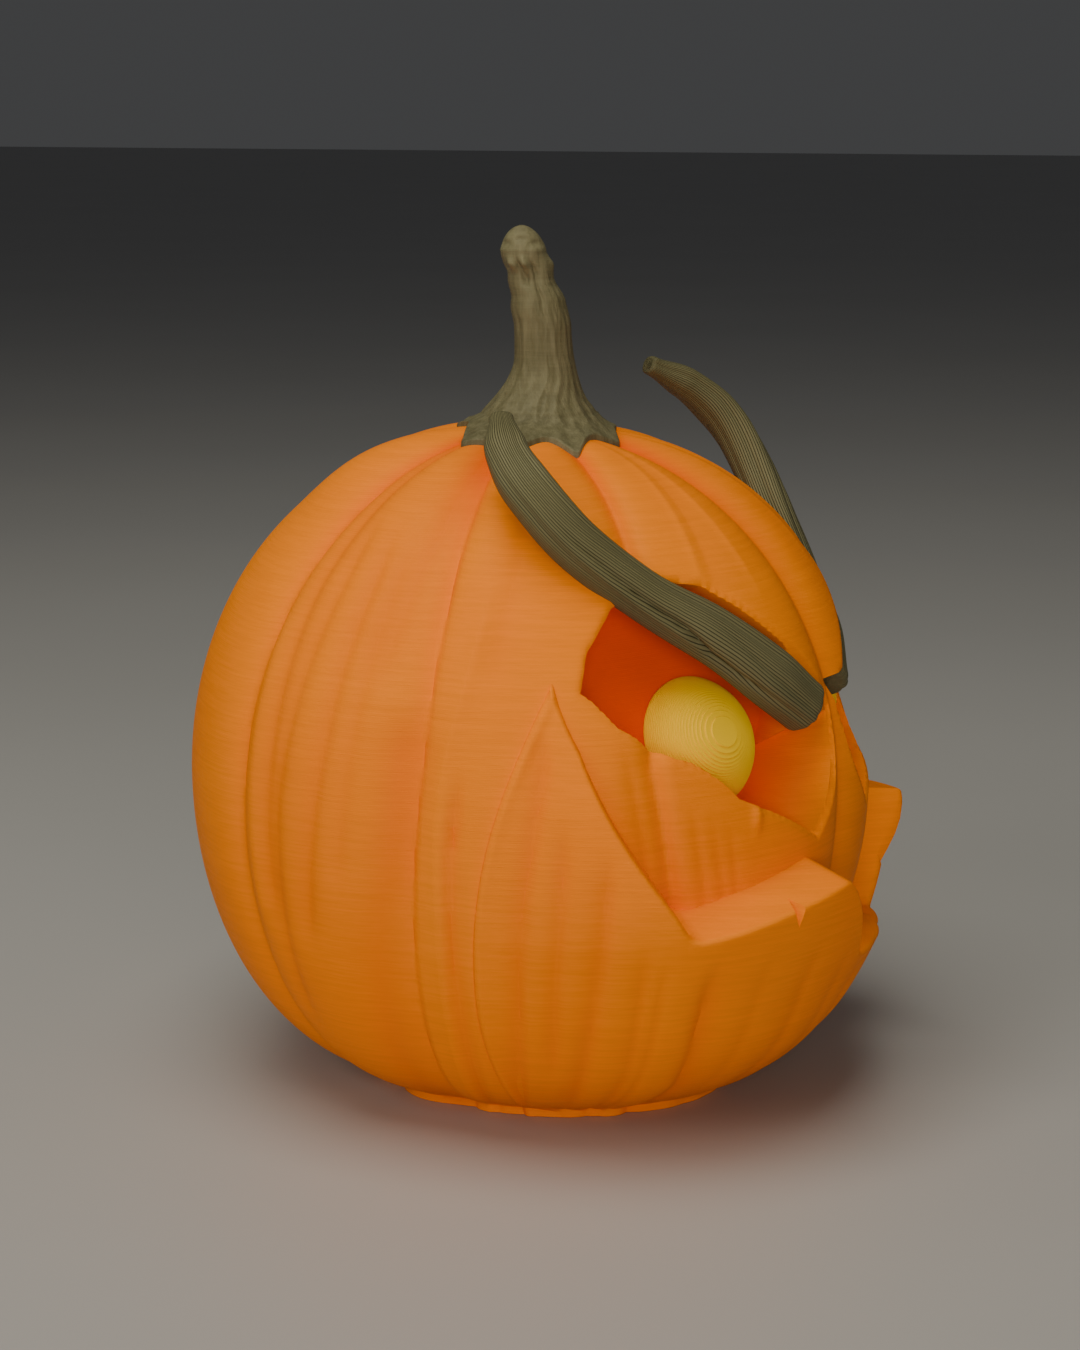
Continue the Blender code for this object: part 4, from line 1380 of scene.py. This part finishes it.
def layer_group() -> bpy.types.NodeTree:
    """The node group of printed layers, built once.

    Returns:
        The group: beads of plastic along one direction, and the faint streaks that they leave.
    """
    name = "printed_layers"
    if name in bpy.data.node_groups:
        return bpy.data.node_groups[name]
    tree = bpy.data.node_groups.new(name, "ShaderNodeTree")
    for label in ("Place", "Along", "Pitch"):
        kind = "NodeSocketVector" if label == "Place" else "NodeSocketFloat"
        tree.interface.new_socket(label, in_out="INPUT", socket_type=kind)
    for label in ("Bead", "Streak", "Mottle"):
        tree.interface.new_socket(label, in_out="OUTPUT", socket_type="NodeSocketFloat")
    nodes = Nodes(tree)
    given = nodes.add("NodeGroupInput").outputs
    slow = nodes.noise(given["Place"], DRIFT_SCALE, 2.0)
    count = nodes.math("DIVIDE", given["Along"], given["Pitch"])
    phase = nodes.math("FRACT", nodes.math("MULTIPLY_ADD", slow, DRIFT, count))
    centred = nodes.math("MULTIPLY_ADD", phase, 2.0, -1.0)
    bead = nodes.math("SUBTRACT", 1.0, nodes.math("POWER", nodes.math("ABSOLUTE", centred), BEAD_POWER))
    split = nodes.add("ShaderNodeSeparateXYZ", {0: given["Place"]}).outputs
    long, short = STREAK_SCALES
    stretched = nodes.add("ShaderNodeCombineXYZ", {
        "X": nodes.math("MULTIPLY", split["X"], long), "Y": nodes.math("MULTIPLY", split["Y"], long),
        "Z": nodes.math("MULTIPLY", given["Along"], short)}).outputs[0]
    streak = nodes.noise(stretched, 1.0, 3.0, 0.65)
    mottle = nodes.noise(given["Place"], MOTTLE_SCALE, 2.0)
    nodes.add("NodeGroupOutput", {"Bead": bead, "Streak": streak, "Mottle": mottle})
    return tree


@dataclass(frozen=True)
class PrintedPlastic:
    """Plastic of one colour, printed in fine layers."""

    name: str
    colour: tuple[float, float, float]
    pale: tuple[float, float, float]
    deep: tuple[float, float, float]
    roughness: float = 0.46
    pitch: float = 0.24
    bead_depth: float = 0.02
    streak_depth: float = 0.03
    streak_tone: float = 0.10
    grain: float = 0.0
    shine: float = 0.15
    line_tone: float = 0.0
    # Painted shade: a colour deep in the sockets and a colour in the folds, each with its share.
    inner: tuple[float, float, float] | None = None
    inner_share: float = 0.9
    folded: tuple[float, float, float] = (0.86, 0.15, 0.001)
    fold_share: float = 0.4
    layer_mark: str = ""
    own_share: float = 0.55
    cloud_scale: float = 28.0
    rough_spread: float = 0.06
    line_lift: float = 0.4
    grain_scales: tuple[float, float, float] = (850.0, 850.0, 110.0)
    grain_tone: float = 0.55

    def material(self) -> bpy.types.Material:
        """Make the material, or give it again.

        Returns:
            The material.
        """
        if self.name in bpy.data.materials:
            return bpy.data.materials[self.name]
        material = bpy.data.materials.new(self.name)
        material.use_nodes = True
        nodes = Nodes(material.node_tree)
        shader = material.node_tree.nodes["Principled BSDF"]
        place = nodes.add("ShaderNodeTexCoord").outputs["Object"]
        if self.layer_mark:
            along = nodes.stored(self.layer_mark)
        else:
            along = nodes.add("ShaderNodeSeparateXYZ", {0: place}).outputs["Z"]
        layers = nodes.add("ShaderNodeGroup", {"Place": place, "Along": along, "Pitch": self.pitch * MM},
                           node_tree=layer_group()).outputs
        broad = nodes.noise(place, self.cloud_scale, 3.0)
        tone = nodes.blend(nodes.spread(broad, 0.3, 0.7), (*self.deep, 1.0), (*self.pale, 1.0))
        tone = nodes.blend(self.own_share, tone, (*self.colour, 1.0))
        tones = (("Streak", 0.25, 0.75, self.streak_tone, self.streak_tone),
                 ("Bead", 0.1, 0.8, self.line_tone, self.line_lift * self.line_tone))
        for output, low, high, darker, lighter in tones:
            if darker:
                shade = nodes.spread(layers[output], low, high, 1.0 - darker, 1.0 + lighter)
                tone = nodes.blend(1.0, tone, nodes.grey(shade), "MULTIPLY")
        # Painted shade: mix towards redder colours in the folds and deep in the sockets.
        if self.inner:
            for stored, most, colour in (("fold", self.fold_share, self.folded),
                                         ("deep", self.inner_share, self.inner)):
                share = nodes.math("MULTIPLY", nodes.stored(stored), most)
                tone = nodes.blend(share, tone, (*colour, 1.0))
        height = nodes.math("MULTIPLY", layers["Bead"], self.bead_depth * MM)
        height = nodes.math("MULTIPLY_ADD", layers["Streak"], self.streak_depth * MM, height)
        if self.grain:
            tall = nodes.add("ShaderNodeVectorMath", {0: place, 1: self.grain_scales}, operation="MULTIPLY")
            grain = nodes.noise(tall.outputs[0], 1.0, 4.0, 0.6)
            height = nodes.math("MULTIPLY_ADD", grain, self.grain * MM, height)
            share = nodes.spread(grain, 0.35, 0.7, 0.0, self.grain_tone)
            tone = nodes.blend(share, tone, (*self.pale, 1.0))
        bump = nodes.add("ShaderNodeBump", {"Height": height, "Strength": 1.0, "Distance": 1.0})
        rough = nodes.spread(layers["Mottle"], 0.3, 0.7, self.roughness - self.rough_spread,
                             self.roughness + self.rough_spread)
        nodes.fill(shader, {"Base Color": tone, "Roughness": rough, "Normal": bump.outputs["Normal"],
                            "Specular IOR Level": self.shine})
        return material


@dataclass(frozen=True)
class SoftLight:
    """A square studio light that points at the ornament."""

    name: str
    place: tuple[float, float, float]
    size: float
    power: float
    colour: tuple[float, float, float] = (1.0, 1.0, 1.0)
    aim: tuple[float, float, float] = (0.0, 0.0, 0.055)

    def build(self) -> None:
        """Add the light to the scene."""
        data = bpy.data.lights.new(self.name, "AREA")
        data.shape = "SQUARE"
        data.size = self.size
        data.energy = self.power
        data.color = self.colour
        lamp = bpy.data.objects.new(self.name, data)
        lamp.location = self.place
        lamp.rotation_euler = (Vector(self.place) - Vector(self.aim)).to_track_quat("Z", "Y").to_euler()
        bpy.context.scene.collection.objects.link(lamp)


@dataclass
class Studio:
    """The pale floor, the soft light and the camera."""

    azimuth: float = -65.0
    pitch: float = 12.0
    distance: float = 405.0
    aim_height: float = 60.2
    aim_right: float = 1.35
    lens: float = 72.0
    floor_size: float = 14.0
    floor_gap: float = 0.0001
    floor_tones: tuple[tuple[float, ...], tuple[float, ...]] = ((0.40, 0.395, 0.39, 1.0),
                                                                (0.44, 0.435, 0.43, 1.0))
    floor_roughness: float = 0.55
    sky_colour: tuple[float, ...] = (0.80, 0.81, 0.83, 1.0)
    sky_power: float = 0.07
    lights: tuple[SoftLight, ...] = (
        SoftLight("overhead", (-0.20, 0.02, 0.72), 0.50, 3.2, (1.0, 0.97, 0.84)),
        SoftLight("key", (-0.62, 0.22, 0.40), 0.35, 1.2, (1.0, 0.95, 0.84)),
        SoftLight("fill", (-0.68, -0.40, 0.16), 0.40, 2.7, (1.0, 0.87, 0.72)))

    def floor(self) -> None:
        """Lay the pale floor."""
        work = bmesh.new()
        bmesh.ops.create_grid(work, x_segments=8, y_segments=8, size=self.floor_size / 2.0)
        bmesh.ops.translate(work, vec=(0.0, 0.0, -self.floor_gap), verts=work.verts)
        piece = finished("studio_floor", work)
        material = bpy.data.materials.new("pale_floor")
        material.use_nodes = True
        nodes = Nodes(material.node_tree)
        place = nodes.add("ShaderNodeTexCoord").outputs["Object"]
        tone = nodes.blend(nodes.noise(place, 6.0, 4.0), *self.floor_tones)
        nodes.fill(material.node_tree.nodes["Principled BSDF"],
                   {"Base Color": tone, "Roughness": self.floor_roughness})
        piece.data.materials.append(material)

    def sky(self) -> None:
        """Fill the room with faint even light."""
        world = bpy.data.worlds.new("studio")
        world.use_nodes = True
        back = world.node_tree.nodes["Background"]
        back.inputs["Color"].default_value = self.sky_colour
        back.inputs["Strength"].default_value = self.sky_power
        bpy.context.scene.world = world

    def camera(self) -> None:
        """Set the camera where the photograph was taken from."""
        turn, fall = math.radians(self.azimuth), math.radians(self.pitch)
        back = Vector((math.sin(turn) * math.cos(fall), -math.cos(turn) * math.cos(fall), math.sin(fall)))
        right = Vector((math.cos(turn), math.sin(turn), 0.0))
        up = back.cross(right)
        data = bpy.data.cameras.new("camera")
        data.lens = self.lens
        data.sensor_width = 36.0
        data.clip_start = 0.01
        made = bpy.data.objects.new("camera", data)
        eye = Vector((0.0, 0.0, self.aim_height)) + right * self.aim_right + back * self.distance
        made.matrix_world = Matrix.Translation(eye * MM) @ Matrix((right, up, back)).transposed().to_4x4()
        bpy.context.scene.collection.objects.link(made)
        bpy.context.scene.camera = made

    def build(self) -> None:
        """Set up the studio."""
        self.floor()
        self.sky()
        self.camera()
        for light in self.lights:
            light.build()


# The inner colour is painted shade deep in the sockets.
ORANGE = PrintedPlastic("orange_print", (0.97, 0.25, 0.001), (0.99, 0.275, 0.002), (0.95, 0.22, 0.001), 0.5,
                        bead_depth=0.012, streak_depth=0.05, streak_tone=0.05, shine=0.06,
                        inner=(0.98, 0.07, 0.0))
YELLOW = PrintedPlastic("yellow_print", (1.0, 0.63, 0.002), (1.0, 0.66, 0.004), (1.0, 0.59, 0.001), 0.45,
                        bead_depth=0.0, streak_depth=0.0, streak_tone=0.0, shine=0.12)
STEM_OLIVE = PrintedPlastic("stem_print", (0.12, 0.108, 0.052), (0.22, 0.20, 0.112), (0.085, 0.076, 0.036),
                            0.5, bead_depth=0.012, streak_depth=0.03, streak_tone=0.10, grain=0.30)
BROW_OLIVE = PrintedPlastic("brow_print", (0.115, 0.106, 0.05), (0.15, 0.14, 0.075), (0.09, 0.082, 0.038),
                            0.5, layer_mark="layer", pitch=0.42, bead_depth=0.10, streak_depth=0.03,
                            streak_tone=0.10, line_tone=0.9)


def main() -> None:
    """Build and dress every piece, then set up the studio."""
    logging.basicConfig(level=logging.INFO, format="%(name)s %(message)s")
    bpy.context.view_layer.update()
    skin, socket = Skin(), Socket()
    Body(skin, socket).build(ORANGE)
    Jaw(skin).build(ORANGE)
    Stem(skin).build(STEM_OLIVE)
    for side in Side:
        Brow().build(side, BROW_OLIVE)
        Eye(socket).build(side, YELLOW)
    Studio().build()


if __name__ == "__main__":
    main()
